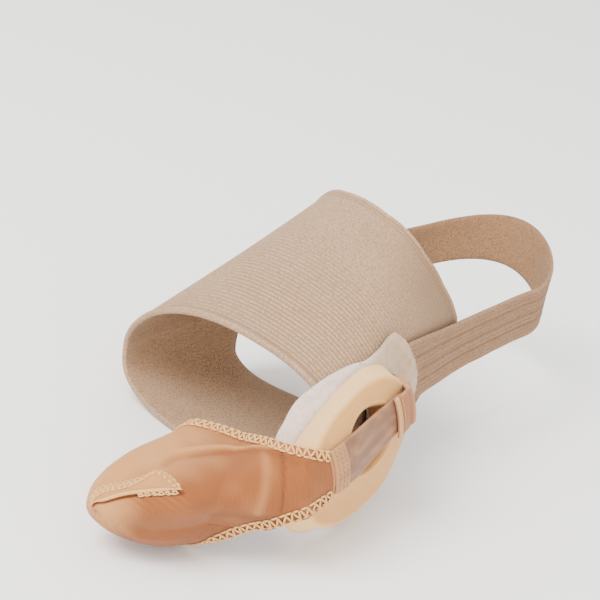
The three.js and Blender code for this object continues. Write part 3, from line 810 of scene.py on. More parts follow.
@dataclass(frozen=True)
class RibbedElastic(Finish):
    """Elastic knit with fine courses, for the band and the strap."""

    course: float
    wale: float
    depth: float = 0.12
    rough: float = 0.85

    def material(self) -> bpy.types.Material:
        """Builds the material."""
        shader = Shader(self.name)
        along, round_ = shader.cloth()
        courses, wales = shader.stripes(round_, self.course), shader.stripes(along, self.wale)
        weave = shader.math("MULTIPLY", courses, wales)
        grain = shader.noise(0.9, 3.0)
        height = shader.math("ADD", weave, shader.math("MULTIPLY_ADD", grain, 0.5))
        speckle = shader.contrast(shader.noise(0.75, 2.0, 0.75), 0.45, 0.62)
        colour = self.stained(shader, self.toned(shader), speckle, 0.75)
        # Painted highlight: the crests of the weave are painted lighter.
        colour = self.lit(shader, colour, weave, 0.3)
        return shader.finish(colour, height, self.depth, self.rough, sheen=0.08)


@dataclass(frozen=True)
class StretchKnit(Finish):
    """Fine stretch knit with small loops, for the sleeve and the tab."""

    wale: float = 0.9
    course: float = 0.8
    depth: float = 0.07
    rough: float = 0.8

    def material(self) -> bpy.types.Material:
        """Builds the material."""
        shader = Shader(self.name)
        along, round_ = shader.cloth()
        wales = shader.stripes(round_, self.wale)
        staggered = shader.math("ADD", along, shader.scaled(wales, self.course / 2))
        loops = shader.math("MULTIPLY", wales, shader.stripes(staggered, self.course))
        height = shader.math("ADD", loops, shader.scaled(shader.noise(1.1, 2.0), 0.5))
        colour = self.stained(shader, self.toned(shader), shader.noise(7.0, 3.0, 0.6), 0.3)
        # Painted highlight: the crests of the loops are painted lighter.
        colour = self.lit(shader, colour, loops, 0.12)
        return shader.finish(colour, height, self.depth, self.rough, sheen=0.1)


@dataclass(frozen=True)
class SatinElastic(Finish):
    """Close satin elastic with threads along its length, for the link."""

    thread: float = 0.7
    depth: float = 0.03
    rough: float = 0.5

    def material(self) -> bpy.types.Material:
        """Builds the material."""
        shader = Shader(self.name)
        along, round_ = shader.cloth()
        threads = shader.stripes(round_, self.thread)
        picks = shader.stripes(along, self.thread * 1.6)
        height = shader.math("ADD", threads, shader.scaled(picks, 0.35))
        # Painted sheen: the threads are painted lighter along their length.
        colour = self.lit(shader, self.toned(shader), threads, 0.1)
        return shader.finish(colour, height, self.depth, self.rough, sheen=0.12)


@dataclass(frozen=True)
class BrushedFelt(Finish):
    """Felt with a raised nap, for the backing."""

    depth: float = 0.5
    rough: float = 1.0

    def material(self) -> bpy.types.Material:
        """Builds the material."""
        shader = Shader(self.name)
        nap = shader.noise(1.6, 5.0, 0.7)
        height = shader.math("ADD", nap, shader.scaled(shader.noise(4.5, 2.0), 0.7))
        colour = self.stained(shader, self.toned(shader), nap, 0.35)
        return shader.finish(colour, height, self.depth, self.rough, sheen=0.3, soft=0.1)


@dataclass(frozen=True)
class LatexFoam(Finish):
    """Moulded latex foam with fine pores, for the ring."""

    depth: float = 0.12
    rough: float = 0.75

    def material(self) -> bpy.types.Material:
        """Builds the material."""
        shader = Shader(self.name)
        cloud = shader.noise(9.0, 2.0)
        height = shader.math("ADD", shader.noise(0.8, 3.0, 0.6), shader.scaled(cloud, 0.3))
        colour = self.stained(shader, self.toned(shader), cloud, 0.22)
        return shader.finish(colour, height, self.depth, self.rough, sheen=0.1, soft=0.15)


@dataclass(frozen=True)
class SewingThread:
    """Soft bulky overlock thread."""

    name: str
    base: str
    dark: str
    depth: float = 0.08
    rough: float = 0.8

    def material(self) -> bpy.types.Material:
        """Builds the material."""
        shader = Shader(self.name)
        twist = shader.noise(0.5, 3.0, 0.7)
        colour = shader.mix(shader.scaled(twist, 0.55), linear(self.base), linear(self.dark))
        return shader.finish(colour, twist, self.depth, self.rough, sheen=0.1)


@dataclass(frozen=True)
class PaleFloor:
    """Pale floor, barely mottled."""

    colour: str = "#fdfcfb"
    grey: tuple[float, ...] = (0.8, 0.8, 0.8, 1)
    depth: float = 0.05
    rough: float = 0.95

    def material(self) -> bpy.types.Material:
        """Builds the material."""
        shader = Shader("pale_floor")
        cloud = shader.noise(60.0)
        colour = shader.mix(shader.scaled(cloud, 0.04), linear(self.colour), self.grey)
        return shader.finish(colour, cloud, self.depth, self.rough)


def dress(piece: Piece, material: bpy.types.Material) -> Piece:
    """Gives a piece its material, and lets it ride on the object's one body.

    Args:
        piece: The piece.
        material: Its material.

    Returns:
        The same piece.
    """
    piece.data.materials.clear()
    piece.data.materials.append(material)
    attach(piece, "root")
    LOG.info("%s: %d faces", piece.name, len(piece.data.polygons))
    return piece


# Stitches, seams and rolled edges.


@dataclass
class Stitch:
    """One thread stitch, modelled once and copied along a seam."""

    width: float = 0.42
    height: float = 0.3
    segments: int = 6
    rings: int = 5

    def model(self) -> tuple[Array, list[tuple[int, ...]]]:
        """Models the stitch, one unit long with pulled-in ends.

        Returns:
            Its points and faces.
        """
        deselect()
        bpy.ops.mesh.primitive_uv_sphere_add(
            segments=self.segments, ring_count=self.rings, radius=0.5, rotation=(0, math.pi / 2, 0))
        made = bpy.context.object
        bpy.ops.object.mode_set(mode="EDIT")
        bpy.ops.mesh.select_all(action="SELECT")
        bpy.ops.transform.resize(value=(1.0, self.width, self.height))
        bpy.ops.object.mode_set(mode="OBJECT")
        bpy.ops.object.transform_apply(location=True, rotation=True, scale=True)
        points = np.array([v.co[:] for v in made.data.vertices])
        faces = [tuple(face.vertices) for face in made.data.polygons]
        bpy.data.objects.remove(made)
        span = points.max(axis=0) - points.min(axis=0)
        points = points / span * np.array([1.0, self.width, self.height])
        arch = 0.25 * self.height * (1 - (2 * points[:, 0]) ** 2)
        points[:, 2] += arch
        return points, faces

    def sew(
        self, name: str, starts: Array, ends: Array, normals: Array, lift: float = 0.1
    ) -> Piece:
        """Copies the stitch between pairs of places.

        Args:
            name: Name of the seam's piece.
            starts: Places where the stitches start, in millimetres.
            ends: Places where they end.
            normals: Outward directions of the cloth there.
            lift: How far the stitches' middle lies above the cloth.

        Returns:
            One object that holds all the stitches.
        """
        shape, faces = self.model()
        along = unit(ends - starts)
        size = np.linalg.norm(ends - starts, axis=-1)
        across = unit(np.cross(normals, along))
        up = np.cross(along, across)
        middle = (starts + ends) / 2 + up * lift
        points = (
            middle[:, None]
            + along[:, None] * (shape[None, :, :1] * size[:, None, None])
            + across[:, None] * shape[None, :, 1:2]
            + up[:, None] * shape[None, :, 2:]
        )
        count = len(shape)
        copied = [tuple(k + i * count for k in face) for i in range(len(starts)) for face in faces]
        return make_object(name, points.reshape(-1, 3), copied)

    def run(
        self, name: str, lines: Sequence["Seam"], pitch: float, fill: float = 0.75, lift: float = 0.1
    ) -> Piece:
        """Sews a running stitch along lines.

        Args:
            name: Name of the seams' piece.
            lines: The lines.
            pitch: Length from stitch to stitch in millimetres.
            fill: Share of the pitch that a stitch fills.
            lift: How far the stitches' middle lies above the cloth.

        Returns:
            One object that holds all the stitches.
        """
        parts = zip(*(line.run(pitch, fill) for line in lines))
        return self.sew(name, *(np.concatenate(part) for part in parts), lift)


def tube(name: str, line: "Seam", radius: float, taper: float) -> Piece:
    """A rolled edge: a round tube along a line, thinner towards its ends.

    Args:
        name: Name of the piece.
        line: Line that it follows, in millimetres.
        radius: Radius at its middle.
        taper: Share of the length over which each end thins out.

    Returns:
        The new object.
    """
    count, sides = 90, 10
    lengths = np.linspace(0, line.length, count)
    centre, normal = line.at(lengths)
    along = unit(np.gradient(centre, axis=0))
    across = unit(np.cross(normal, along))
    up = np.cross(along, across)
    share = lengths / line.length
    size = radius * (0.25 + 0.75 * smoothstep(near_end(share), 0.0, taper))
    turn = np.arange(sides) / sides * 2 * math.pi
    spokes = np.cos(turn)[None, :, None] * across[:, None] + np.sin(turn)[None, :, None] * up[:, None]
    rows = centre[:, None] + spokes * size[:, None, None]
    ends = np.stack([centre[0] - along[0] * size[0], centre[-1] + along[-1] * size[-1]])
    points = np.concatenate([rows.reshape(-1, 3), ends])
    return make_object(name, points, loop_faces(count, sides, End.POLES))


@dataclass
class Seam:
    """A line on cloth, followed at even steps."""

    points: Array
    normals: Array

    def at(self, lengths: Array) -> tuple[Array, Array]:
        """Places and normals at lengths along the line, in millimetres."""
        total = running(self.points)
        return follow(lengths, total, self.points), unit(follow(lengths, total, self.normals))

    @property
    def length(self) -> float:
        """Length of the line."""
        return float(np.linalg.norm(np.diff(self.points, axis=0), axis=-1).sum())

    def run(self, pitch: float, fill: float) -> tuple[Array, Array, Array]:
        """Starts, ends and normals of a running stitch along the line."""
        count = max(int(self.length / pitch), 1)
        places = np.arange(count) * (self.length / count)
        start, normal = self.at(places)
        end, _ = self.at(places + self.length / count * fill)
        return start, end, normal


def overlock(inner: Seam, rim: Seam, pitch: float) -> tuple[Array, Array, Array]:
    """Stitches of an overlocked edge: slanted pairs between two lines, and a chain on each.

    Args:
        inner: Line of the needle thread.
        rim: Line at the cloth's edge.
        pitch: Length of one stitch in millimetres.

    Returns:
        Starts, ends and normals of the stitches.
    """
    count = max(int(rim.length / pitch), 2)
    share = np.arange(count) / count
    step = 1.0 / count
    wander = 0.2 * step * np.sin(share * 97.0)
    a, normal = inner.at((share + wander) * inner.length)
    b, rim_normal = rim.at((share + 0.5 * step - wander) * rim.length)
    c, _ = inner.at((share + step * 1.02) * inner.length)
    d, _ = rim.at((share + step) * rim.length)
    d_before, _ = rim.at((share + 0.05 * step) * rim.length)
    starts = np.concatenate([a, b, a, d_before])
    ends = np.concatenate([b, c, c - 0.15 * (c - a), d])
    normals = np.concatenate([normal, rim_normal, normal, rim_normal])
    return starts, ends, normals


# The pieces, each in a class of its own.


@dataclass
class InstepBand:
    """Seamless ribbed band round the instep, with a rolled hem at each edge."""

    form: FootForm
    layers: Layers
    front: float = -45.0
    length: float = 62.0
    pull: float = 17.0
    sway: float = 3.0
    hem_width: float = 1.9
    ribs: int = 46
    rib_height: float = 0.26
    samples_per_rib: int = 6
    stations: int = 220
    ditch_depth: float = 0.25
    ditch_shade: float = 0.75
    # Painted highlight on the hems' round rims, painted shade on the band's inner face.
    rim_highlight: float = 0.3
    inner_shade: float = -0.2
    # angle, pull
    rear_table: Table = (
        (0, -0.3), (4, 0.1), (10, 0.55), (16, 0.9), (27, 0.72), (38, 0.46), (55, 0.28), (75, 0.02),
        (98, -0.12), (115, -0.06), (128, 0.02), (145, 0.33), (155, 0.64), (164, 0.9), (170, 0.55),
        (176, 0.1), (180, -0.3), (190, -0.6), (210, -0.75), (270, -0.75), (330, -0.75), (350, -0.6),
        (360, -0.3),
    )
    finish: RibbedElastic = field(default_factory=lambda: RibbedElastic(
        "band_knit", "#a78667", "#7d6246", "#c19e80", course=0.85, wale=0.95))

    def front_at(self, t: Array) -> Array:
        """Stations of the front edge."""
        return self.front + self.sway * np.cos(np.radians(t))

    @property
    def rear_most(self) -> float:
        """Station that the rear edge reaches where its pull is 1."""
        return self.front + self.length + self.pull

    def rear_at(self, t: Array) -> Array:
        """Stations of the rear edge."""
        angle, pull = np.array(self.rear_table).T
        fine = np.linspace(0, 360, 361)
        rough = np.interp(fine, angle, pull)
        wide = np.concatenate([rough[-5:-1], rough, rough[1:5]])
        smooth = np.convolve(wide, np.ones(5) / 5, "same")[4:-4]
        return self.front + self.length + self.pull * np.interp(t, fine, smooth)

    def profile(self) -> tuple[Array, Array, Array]:
        """Shares along the band, heights over the skin and tones, out over the band and back; the tones paint
        shade and highlights on the ribs, hems and rims.
        """
        count = self.ribs * self.samples_per_rib
        share = np.linspace(0, 1, count + 1)
        wave = 0.5 + 0.5 * np.cos(2 * math.pi * self.ribs * share)
        strength = 0.06 + 0.94 * (1 - smoothstep(share, 0.34, 0.8))
        out = self.layers.band_out - self.rib_height * (1 - wave) * strength
        # Painted shade in the ribs' valleys and painted highlight on their crests, fading towards the rear.
        tone = (wave - 0.58) * 1.25 * strength
        edge = self.hem_width / self.length
        front_hem = 1 - smoothstep(share, edge * 0.55, edge)
        hem = np.maximum(front_hem, smoothstep(share, 1 - edge, 1 - edge * 0.55))
        out = out * (1 - hem) + (self.layers.hem_out - 0.05) * hem
        from_edge = near_end(share) * self.length
        rolled = 1 - smoothstep(from_edge, 0.7, 1.0)
        # Painted highlight along the rolled edge of each hem.
        tone = tone * (1 - hem) + 0.45 * rolled * hem
        ditch = ridges(from_edge, ((1.0, 1.2, 0.22), (0.6, self.hem_width + 0.25, 0.3)))
        tone -= self.ditch_shade * ditch
        out -= self.ditch_depth * ditch
        turn = np.linspace(0, math.pi, 9)[1:-1]
        middle = (self.layers.hem_out + self.layers.skin) / 2
        half = (self.layers.hem_out - self.layers.skin) / 2 * np.cos(turn)
        round_share = 0.55 * np.sin(turn) / self.length
        back = np.linspace(1, 0, 14)
        # Painted highlight on the round rims, painted shade on the inner face.
        rim, inside = np.full_like(turn, self.rim_highlight), np.full_like(back, self.inner_shade)
        shares = np.concatenate([share, 1 + round_share, back, -round_share])
        outs = np.concatenate([out, middle + half, np.full_like(back, self.layers.skin), middle - half])
        return shares, outs, np.concatenate([tone, rim, inside, rim])

    def build(self) -> Piece:
        """Builds and dresses the band."""
        share, out, tone = self.profile()
        t = np.linspace(0, 360, self.stations, endpoint=False)
        t_grid = np.repeat(t[:, None], len(share), axis=1)
        front, rear = self.front_at(t)[:, None], self.rear_at(t)[:, None]
        x = front + (rear - front) * share[None]
        stretch = 1 + 0.16 * mottle(np.stack([x, t_grid * 0.8, 0 * x], -1), 46.0)
        swell = np.where(out[None] > 1.0, 1 + 0.06 * (stretch - 1), 1)
        rows = self.form.off_foot(x, t_grid, self.layers.skin + (out[None] - self.layers.skin) * swell)
        # The painted rib shade and highlight show fully on the top and the inner side; the rear of the inner
        # side is painted in shade.
        inner_side = smoothstep(t_grid, 95, 140) * (1 - smoothstep(t_grid, 185, 215))
        rear_shade = smoothstep(share[None], 0.55, 1.0) * inner_side
        shown = 0.4 + 0.6 * smoothstep(t_grid, 35, 92) * (1 - smoothstep(t_grid, 200, 240))
        shade = tone[None] * shown + 0.12 * mottle(rows, 22.0, 3.0) - 0.9 * rear_shade
        cloth = wall("instep_band_cloth", rows, shade, End.JOINED)
        band = dress(cloth, self.finish.material())
        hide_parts("instep_band")
        return band


@dataclass
class HeelStrap:
    """Ribbed webbing strap from under the felt, round the heel, to the band's outer side."""

    form: FootForm
    layers: Layers
    ring: RingOutline
    band: InstepBand
    width: float = 22.0
    heel_width: float = 18.0
    taper: float = 50.0
    side_height: float = 35.5
    heel_height: float = 48.0
    heel_lean: float = 5.0
    heel_inset: float = 13.0
    early_rise: float = 0.13
    heel_centre: float = 79.92
    outer_overlap: float = 20.0
    ribs: int = 11
    rib_height: float = 0.2
    groove: float = 0.3
    edge_round: float = 0.45
    across: int = 72
    # way, offset
    box: Table = (
        (2.955, -8.5), (2.955, 8.5), (2.76, 8.5), (2.76, -8.5), (2.955, -8.5),
    )
    finish: RibbedElastic = field(default_factory=lambda: RibbedElastic(
        "strap_webbing", "#8d6a4a", "#6d4c30", "#a28060", course=0.8, wale=1.1))
    thread: SewingThread = field(default_factory=lambda: SewingThread("strap_thread", "#b79468", "#8a6540"))

    @property
    def start(self) -> float:
        """Station of the strap's front end, under the felt."""
        return self.ring.ramp_start + self.ring.ramp + 2 * self.layers.gap

    @property
    def end(self) -> float:
        """Station of the strap's end on the band's outer side."""
        return self.band.rear_most - self.outer_overlap

    def side(self, x: Array, z: Array, side: int) -> Array:
        """Places on the foot's inner (-1) or outer (1) side, at stations and heights."""
        size = self.form.section(x)
        up = np.clip((z - size["widest"]) / (size["top"] - size["widest"]), 0, 1)
        down = np.clip((size["widest"] - z) / size["widest"], 0, 1)
        above = (1 - up**self.form.top_power) ** (1 / self.form.top_power)
        below = (1 - down**self.form.sole_power) ** (1 / self.form.sole_power)
        reach = np.where(z >= size["widest"], above, below)
        lean = (size["ridge"] - size["middle"]) * up**self.form.ridge_power
        y = size["middle"] + side * size["half"] * reach + lean
        return np.stack([x + 0 * z, y, z + 0 * x], -1)

    def station(self, way: Array) -> Array:
        """Stations along the strap. way: 0 to 1 inner side, to 2 round the heel, to 3 outer side."""
        inner = self.start + (self.heel_centre - self.start) * np.minimum(way, 1)
        outer = self.heel_centre + (self.end - self.heel_centre) * np.clip(way - 2, 0, 1)
        return np.where(way < 1, inner, outer)

    def width_at(self, way: Array) -> Array:
        """Width of the strap, which its pull narrows towards the heel."""
        share = smoothstep(self.station(way), self.start, self.start + self.taper)
        return self.width + (self.heel_width - self.width) * share

    def seat(self, way: Array, offset: Array) -> Array:
        """Places on the strap's seat, an offset above its middle line."""
        x = self.station(way)
        turn = math.pi * np.clip(way - 1, 0, 1)
        early = smoothstep(x, 0, self.heel_centre) * self.early_rise
        rise = early + (1 - early) * np.sin(turn) ** 2
        z = self.side_height + (self.heel_height - self.side_height) * rise + offset
        heel_x = np.full_like(z, self.heel_centre)
        inner, outer = self.side(heel_x, z, -1)[..., 1], self.side(heel_x, z, 1)[..., 1]
        lean = self.heel_lean * offset / self.heel_width
        back = (self.form.length / 2 - self.heel_inset - self.heel_centre + lean) * np.sin(turn)
        round_y = (inner + outer) / 2 - np.cos(turn) * (outer - inner) / 2
        heel = np.stack([self.heel_centre + back, round_y, z], -1)
        place = np.where((way <= 1)[..., None], self.side(x, z, -1), heel)
        return np.where((way >= 2)[..., None], self.side(x, z, 1), place)

    def facing(self, way: Array, offset: Array) -> Array:
        """Outward directions of the strap."""
        step = 0.004
        along = self.seat(np.minimum(way + step, 3), offset) - self.seat(np.maximum(way - step, 0), offset)
        up = self.seat(way, offset + 1) - self.seat(way, offset - 1)
        return unit(np.cross(along, up))

    def lift(self, way: Array) -> Array:
        """Distance of the strap's inner face from the foot."""
        start = np.where(way < 1.5, self.start, self.end)
        side = np.where(way < 1.5, way, 3 - way)
        x = start + (self.heel_centre - start) * np.clip(side, 0, 1)
        down = smoothstep(x, self.band.rear_most + 2.4, self.heel_centre)
        return self.layers.over_band + (self.layers.skin - self.layers.over_band) * down

    def place(self, way: Array, offset: Array, out: Array) -> Array:
        """Points on or in the strap."""
        return self.seat(way, offset) + self.facing(way, offset) * (self.lift(way) + out)[..., None]

    def build(self) -> list[Piece]:
        """Builds and dresses the strap and the stitches of its outer end."""
        share = np.linspace(0, 1, self.across + 1)
        offset = (share - 0.5) * self.width
        wave = 0.5 + 0.5 * np.cos(2 * math.pi * self.ribs * share)
        deep = ridges(share, ((1.0, 0.3, 0.02), (1.0, 0.52, 0.02), (1.0, 0.75, 0.02)))
        edge = near_end(share) * self.width
        selvage = 1 - smoothstep(edge, 0.7, 1.5)
        out = self.layers.strap_wall - self.rib_height * (1 - wave) * (1 - selvage) - self.groove * deep
        out -= self.edge_round * (1 - smoothstep(edge, 0.0, 0.5))
        # Painted highlight on the rib crests and the raised selvages, painted shade in the rib valleys and
        # the deep grooves; the inner face is painted darker.
        tone = (wave - 0.6) * 0.32 * (1 - selvage) + 0.6 * selvage - 0.6 * deep
        inner = np.linspace(1, 0, 13)
        offsets = np.concatenate([offset, (inner - 0.5) * self.width * 0.985])
        outs = np.concatenate([out, np.where(np.abs(inner - 0.5) > 0.49, 0.4, 0.0)])
        tones = np.concatenate([tone, np.full_like(inner, -0.1)])
        way = np.concatenate([np.linspace(0, 1, 121), np.linspace(1, 2, 121)[1:-1], np.linspace(2, 3, 121)])
        way_grid = np.repeat(way[:, None], len(offsets), axis=1)
        offset_grid = offsets[None] * (self.width_at(way) / self.width)[:, None]
        out_grid = np.repeat(outs[None], len(way), axis=0)
        slack = 0.12 * np.sin(way_grid * 31 + offset_grid * 0.3) * np.sin(way_grid * 7.3)
        rows = self.place(way_grid, offset_grid, out_grid + slack * (out_grid > 0.5))
        shade = tones[None] + 0.12 * mottle(rows, 12.0, 1.0)
        cloth = wall("heel_strap_cloth", rows, shade, End.FLAT)
        strap = dress(cloth, self.finish.material())
        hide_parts("heel_strap")
        stitches = self.end_stitches()
        return [strap, stitches]

    def end_stitches(self) -> Piece:
        """Sews the outer end to the band with a box of stitches."""
        lines = []
        for corner, following in zip(self.box, self.box[1:]):
            way, offset = np.linspace(corner, following, 24).T
            out = np.full_like(way, self.layers.strap_wall - 0.1)
            lines.append(Seam(self.place(way, offset, out), self.facing(way, offset)))
        stitches = Stitch(width=0.5, height=0.34).run("heel_strap_stitches", lines, 2.1)
        return dress(stitches, self.thread.material())


@dataclass
class FoamRing:
    """Latex foam ring with a moulded sloping side and a round hole."""

    seat: PadSeat
    ring: RingOutline
    layers: Layers
    stations: int = 260
    lip_reach: float = 1.1
    lip_round: float = 1.4
    shoulder: float = 1.9
    shoulder_drop: float = 1.5
    shoulder_angle: float = 58.0
    finish: LatexFoam = field(default_factory=lambda: LatexFoam("ring_foam", "#d39c5a", "#b07b40", "#ebc084"))

    def profile(self, turn: Array) -> tuple[Array, Array, Array]:
        """Places, heights and tones round the ring's wall, for turns in radians; the tones are painted shade
        in the hole and on the face, and a painted highlight on the sloping side.

        Args:
            turn: Turns about the centre.

        Returns:
            Places as station and rise, distances from the foot, and tones.
        """
        ring, layers = self.ring, self.layers
        radius = ring.hole_diameter / 2
        places: list[Array] = []
        outs: list[float] = []
        tones: list[float] = []

        def put(place: Array, out: float, tone: float) -> None:
            """Adds one line of the profile."""
            places.append(place)
            outs.append(out)
            tones.append(tone)

        # Painted shade on the hole's wall, lightening over the lip; the face is painted a little darker.
        lip_out = layers.ring_face - self.lip_round
        for out in np.linspace(layers.ring_in, lip_out, 6):
            belly = 0.25 * math.sin(math.pi * (out - layers.ring_in) / layers.ring_wall)
            put(ring.hole(turn, radius - belly), out, -0.45)
        for angle in np.linspace(0, math.pi / 2, 7)[1:]:
            rise = math.sin(angle)
            put(ring.hole(turn, radius + self.lip_reach * (1 - math.cos(angle))),
                lip_out + self.lip_round * rise, -0.2 + 0.3 * rise)
        lip = ring.hole(turn, radius + self.lip_reach)
        face = ring.edge(turn, -self.shoulder)
        for share in np.linspace(0, 1, 14)[1:-1]:
            crown = 0.18 * math.sin(math.pi * share)
            put(lip * (1 - share) + face * share, layers.ring_face + crown - 0.05, -0.3)
        # Painted highlight on the shoulder and the sloping side; the foot is lighter and the underside
        # painted darker.
        steepest = math.radians(self.shoulder_angle)
        for angle in np.linspace(0, steepest, 8):
            put(ring.edge(turn, -self.shoulder + self.shoulder * math.sin(angle) / math.sin(steepest)),
                layers.ring_face - self.shoulder_drop * (1 - math.cos(angle)), -0.3 + 1.25 * angle)
        top, slope = layers.ring_face - self.shoulder_drop * (1 - math.cos(steepest)), ring.bevel
        for share in np.linspace(0, 1, 14)[1:]:
            hollow = 0.35 * math.sin(math.pi * share)
            put(ring.edge(turn, slope * share**1.1 - hollow * 0.4),
                top + (layers.ring_in + 0.5 - top) * share, 1.0 - 0.1 * share)
        put(ring.edge(turn, slope - 0.15), layers.ring_in + 0.15, 0.2)
        foot, hole = ring.edge(turn, slope - 0.6), ring.hole(turn, radius)
        put(foot, layers.ring_in, 0.0)
        for share in np.linspace(0, 1, 7)[1:-1]:
            put(foot * (1 - share) + hole * share, layers.ring_in, -0.2)
        return np.stack(places, 1), np.array(outs), np.array(tones)

    def build(self) -> Piece:
        """Builds and dresses the ring."""
        turn = np.linspace(0, 2 * math.pi, self.stations, endpoint=False)
        places, outs, tones = self.profile(self.even_turns(turn))
        out_grid = np.repeat(outs[None], len(turn), axis=0)
        rows = self.seat.place(places[..., 0], places[..., 1], out_grid)
        wobble = 0.1 * mottle(rows, 14.0, 2.0) * (out_grid > self.layers.ring_in + 1)
        rows = self.seat.place(places[..., 0], places[..., 1], out_grid + wobble)
        shade = tones[None] + 0.08 * mottle(rows, 9.0, 5.0)
        ring = dress(wall("ring_pad_foam", rows, shade, End.JOINED), self.finish.material())
        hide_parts("ring_pad")
        return ring

    def even_turns(self, turn: Array) -> Array:
        """Turns that step evenly along the outline instead of in angle."""
        fine = np.linspace(0, 2 * math.pi, 1441)
        steps = running(self.ring.edge(fine, 0.0))
        return np.interp(turn / (2 * math.pi) * steps[-1], steps, fine)


@dataclass
class FeltBacking:
    """Brushed felt under the ring, with its pointed rear top corner lying over the strap."""

    seat: PadSeat
    ring: RingOutline
    layers: Layers
    length: float = 76.0
    height: float = 61.0
    hole_margin: float = 1.0
    stations: int = 300
    round_edge: float = 1.2
    shown_margin: float = 18.0
    hairs: int = 1500
    hair_tone: float = 0.1
    hair_thickness: float = 0.07
    # back, rise
    outline_table: Table = (
        (0.476, 0.432), (0.532, 0.275), (0.589, 0.099), (0.596, -0.019), (0.572, -0.13),
        (0.487, -0.294), (0.342, -0.401), (0.158, -0.432), (-0.026, -0.432), (-0.197, -0.36),
        (-0.316, -0.196), (-0.37, 0.018), (-0.36, 0.247), (-0.292, 0.444), (-0.2, 0.526),
        (-0.096, 0.578), (0.053, 0.558), (0.184, 0.498), (0.282, 0.426), (0.387, 0.409),
    )
    finish: BrushedFelt = field(default_factory=lambda: BrushedFelt(
        "backing_felt", "#d2b59c", "#9c815f", "#f4dcd6"))

    def outline(self, count: int) -> Array:
        """Even places on the felt's outline, as a smooth closed curve through its table."""
        size, joint = np.array([self.length, self.height]), np.array([self.ring.joint, self.ring.centre[1]])
        corners = np.array(self.outline_table) * size + joint
        n = len(corners)
        fine = []
        for i in range(n):
            p0, p1, p2, p3 = (corners[(i + k) % n] for k in (-1, 0, 1, 2))
            if i == 0:
                p0 = p1
            if i == n - 1:
                p3 = p2
            for u in np.linspace(0, 1, 40, endpoint=False):
                fine.append(0.5 * (2 * p1 + (p2 - p0) * u + (2 * p0 - 5 * p1 + 4 * p2 - p3) * u * u
                                   + (3 * p1 - p0 - 3 * p2 + p3) * u**3))
        fine.append(corners[0])
        curve = np.array(fine)
        steps = running(curve)
        return follow(np.arange(count) / count * steps[-1], steps, curve)

    def lift(self, x: Array) -> Array:
        """Distance of the felt's inner face from the foot."""
        up = smoothstep(x, self.ring.ramp_start, self.ring.ramp_start + self.ring.ramp)
        return self.layers.over_band + (self.layers.over_strap - self.layers.over_band) * up

    def rounded(self, inset: Array) -> Array:
        """Share of the felt's full height at distances in from its edge."""
        return np.sqrt(np.clip(1 - (1 - np.minimum(inset, self.round_edge) / self.round_edge) ** 2, 0, 1))

    def build(self) -> list[Piece]:
        """Builds and dresses the felt and its raised hairs."""
        edge = self.outline(self.stations)
        centre = np.array(self.ring.hole_centre)
        away = edge - centre
        turn = np.arctan2(away[:, 1], away[:, 0])
        inside = self.ring.hole(turn, self.ring.hole_diameter / 2 + self.hole_margin)
        share = np.concatenate([np.linspace(0, 0.9, 26), np.linspace(0.9, 1, 9)[1:]])
        rounded = self.rounded((1 - share) * self.shown_margin) * self.rounded(share * self.shown_margin)
        upper = self.layers.felt_wall * (0.45 + 0.55 * rounded)
        places, lower = between(inside, edge, share), between(inside, edge, share[::-1][::2])
        outer_lift = self.lift(places[..., 0]) + upper[None]
        flat = self.seat.place(places[..., 0], places[..., 1], outer_lift)
        nap = 0.16 * mottle(flat, 3.4, 1.0) + 0.2 * mottle(flat, 11.0, 4.0)
        shown = smoothstep(self.ring.outside(places[..., 0], places[..., 1]), 4.0, 7.0)
        outer = self.seat.place(places[..., 0], places[..., 1], outer_lift + nap * shown - 0.2 * (1 - shown))
        inner = self.seat.place(lower[..., 0], lower[..., 1], self.lift(lower[..., 0]))
        rows = np.concatenate([outer, inner], axis=1)
        # Painted shade: the felt is light at the front and painted darker towards the rear; its inner face is
        # painted darker too.
        rear = smoothstep(places[..., 0], -34.0, -16.0)
        tone = 0.6 - 1.15 * rear + 0.22 * mottle(flat, 5.0, 9.0)
        shade = np.concatenate([tone, np.full(lower.shape[:2], -0.1)], axis=1)
        cloth = wall("felt_backing_cloth", rows, shade, End.JOINED)
        material = self.finish.material()
        felt = dress(cloth, material)
        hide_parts("felt_backing")
        hairs = dress(self.nap_hairs(edge, centre), material)
        return [felt, hairs]

    def nap_hairs(self, edge: Array, centre: Array) -> Piece:
        """Short raised hairs over the felt's shown margin and along its cut edge."""
        chance = np.random.default_rng(7)
        pick = chance.integers(0, len(edge), self.hairs)
        inset = np.abs(chance.normal(0, 0.16, self.hairs))
        place = edge[pick] + (centre - edge[pick]) * np.clip(inset, 0.0, 0.6)[:, None]
        keep = self.ring.outside(place[:, 0], place[:, 1]) > 5.5
        place, inset, pick = place[keep], inset[keep], pick[keep]
        out = self.lift(place[:, 0]) + self.layers.felt_wall - 0.25 - 0.9 * (inset < 0.01)
        start = self.seat.place(place[:, 0], place[:, 1], out)
        normal = self.seat.normal(place[:, 0], place[:, 1])
        inward = edge[pick] * 0.9 + centre * 0.1
        away = unit(self.seat.place(*edge[pick].T, out) - self.seat.place(*inward.T, out))
        lean = unit(normal * 0.7 + away * 0.5 + chance.normal(0, 0.55, start.shape))
        end = start + lean * chance.uniform(0.5, 1.3, len(start))[:, None]
        side = unit(np.cross(lean, chance.normal(0, 1, start.shape))) * self.hair_thickness
        other = unit(np.cross(lean, side)) * self.hair_thickness
        points = np.stack([start + side, start - side * 0.5 + other, start - side * 0.5 - other, end], 1)
        faces = []
        for i in range(len(points)):
            k = 4 * i
            faces += [(k, k + 1, k + 3), (k + 1, k + 2, k + 3), (k + 2, k, k + 3), (k, k + 2, k + 1)]
        piece = make_object("felt_backing_hairs", points.reshape(-1, 3), faces)
        set_tone(piece, np.full(len(piece.data.vertices), self.hair_tone))
        return piece


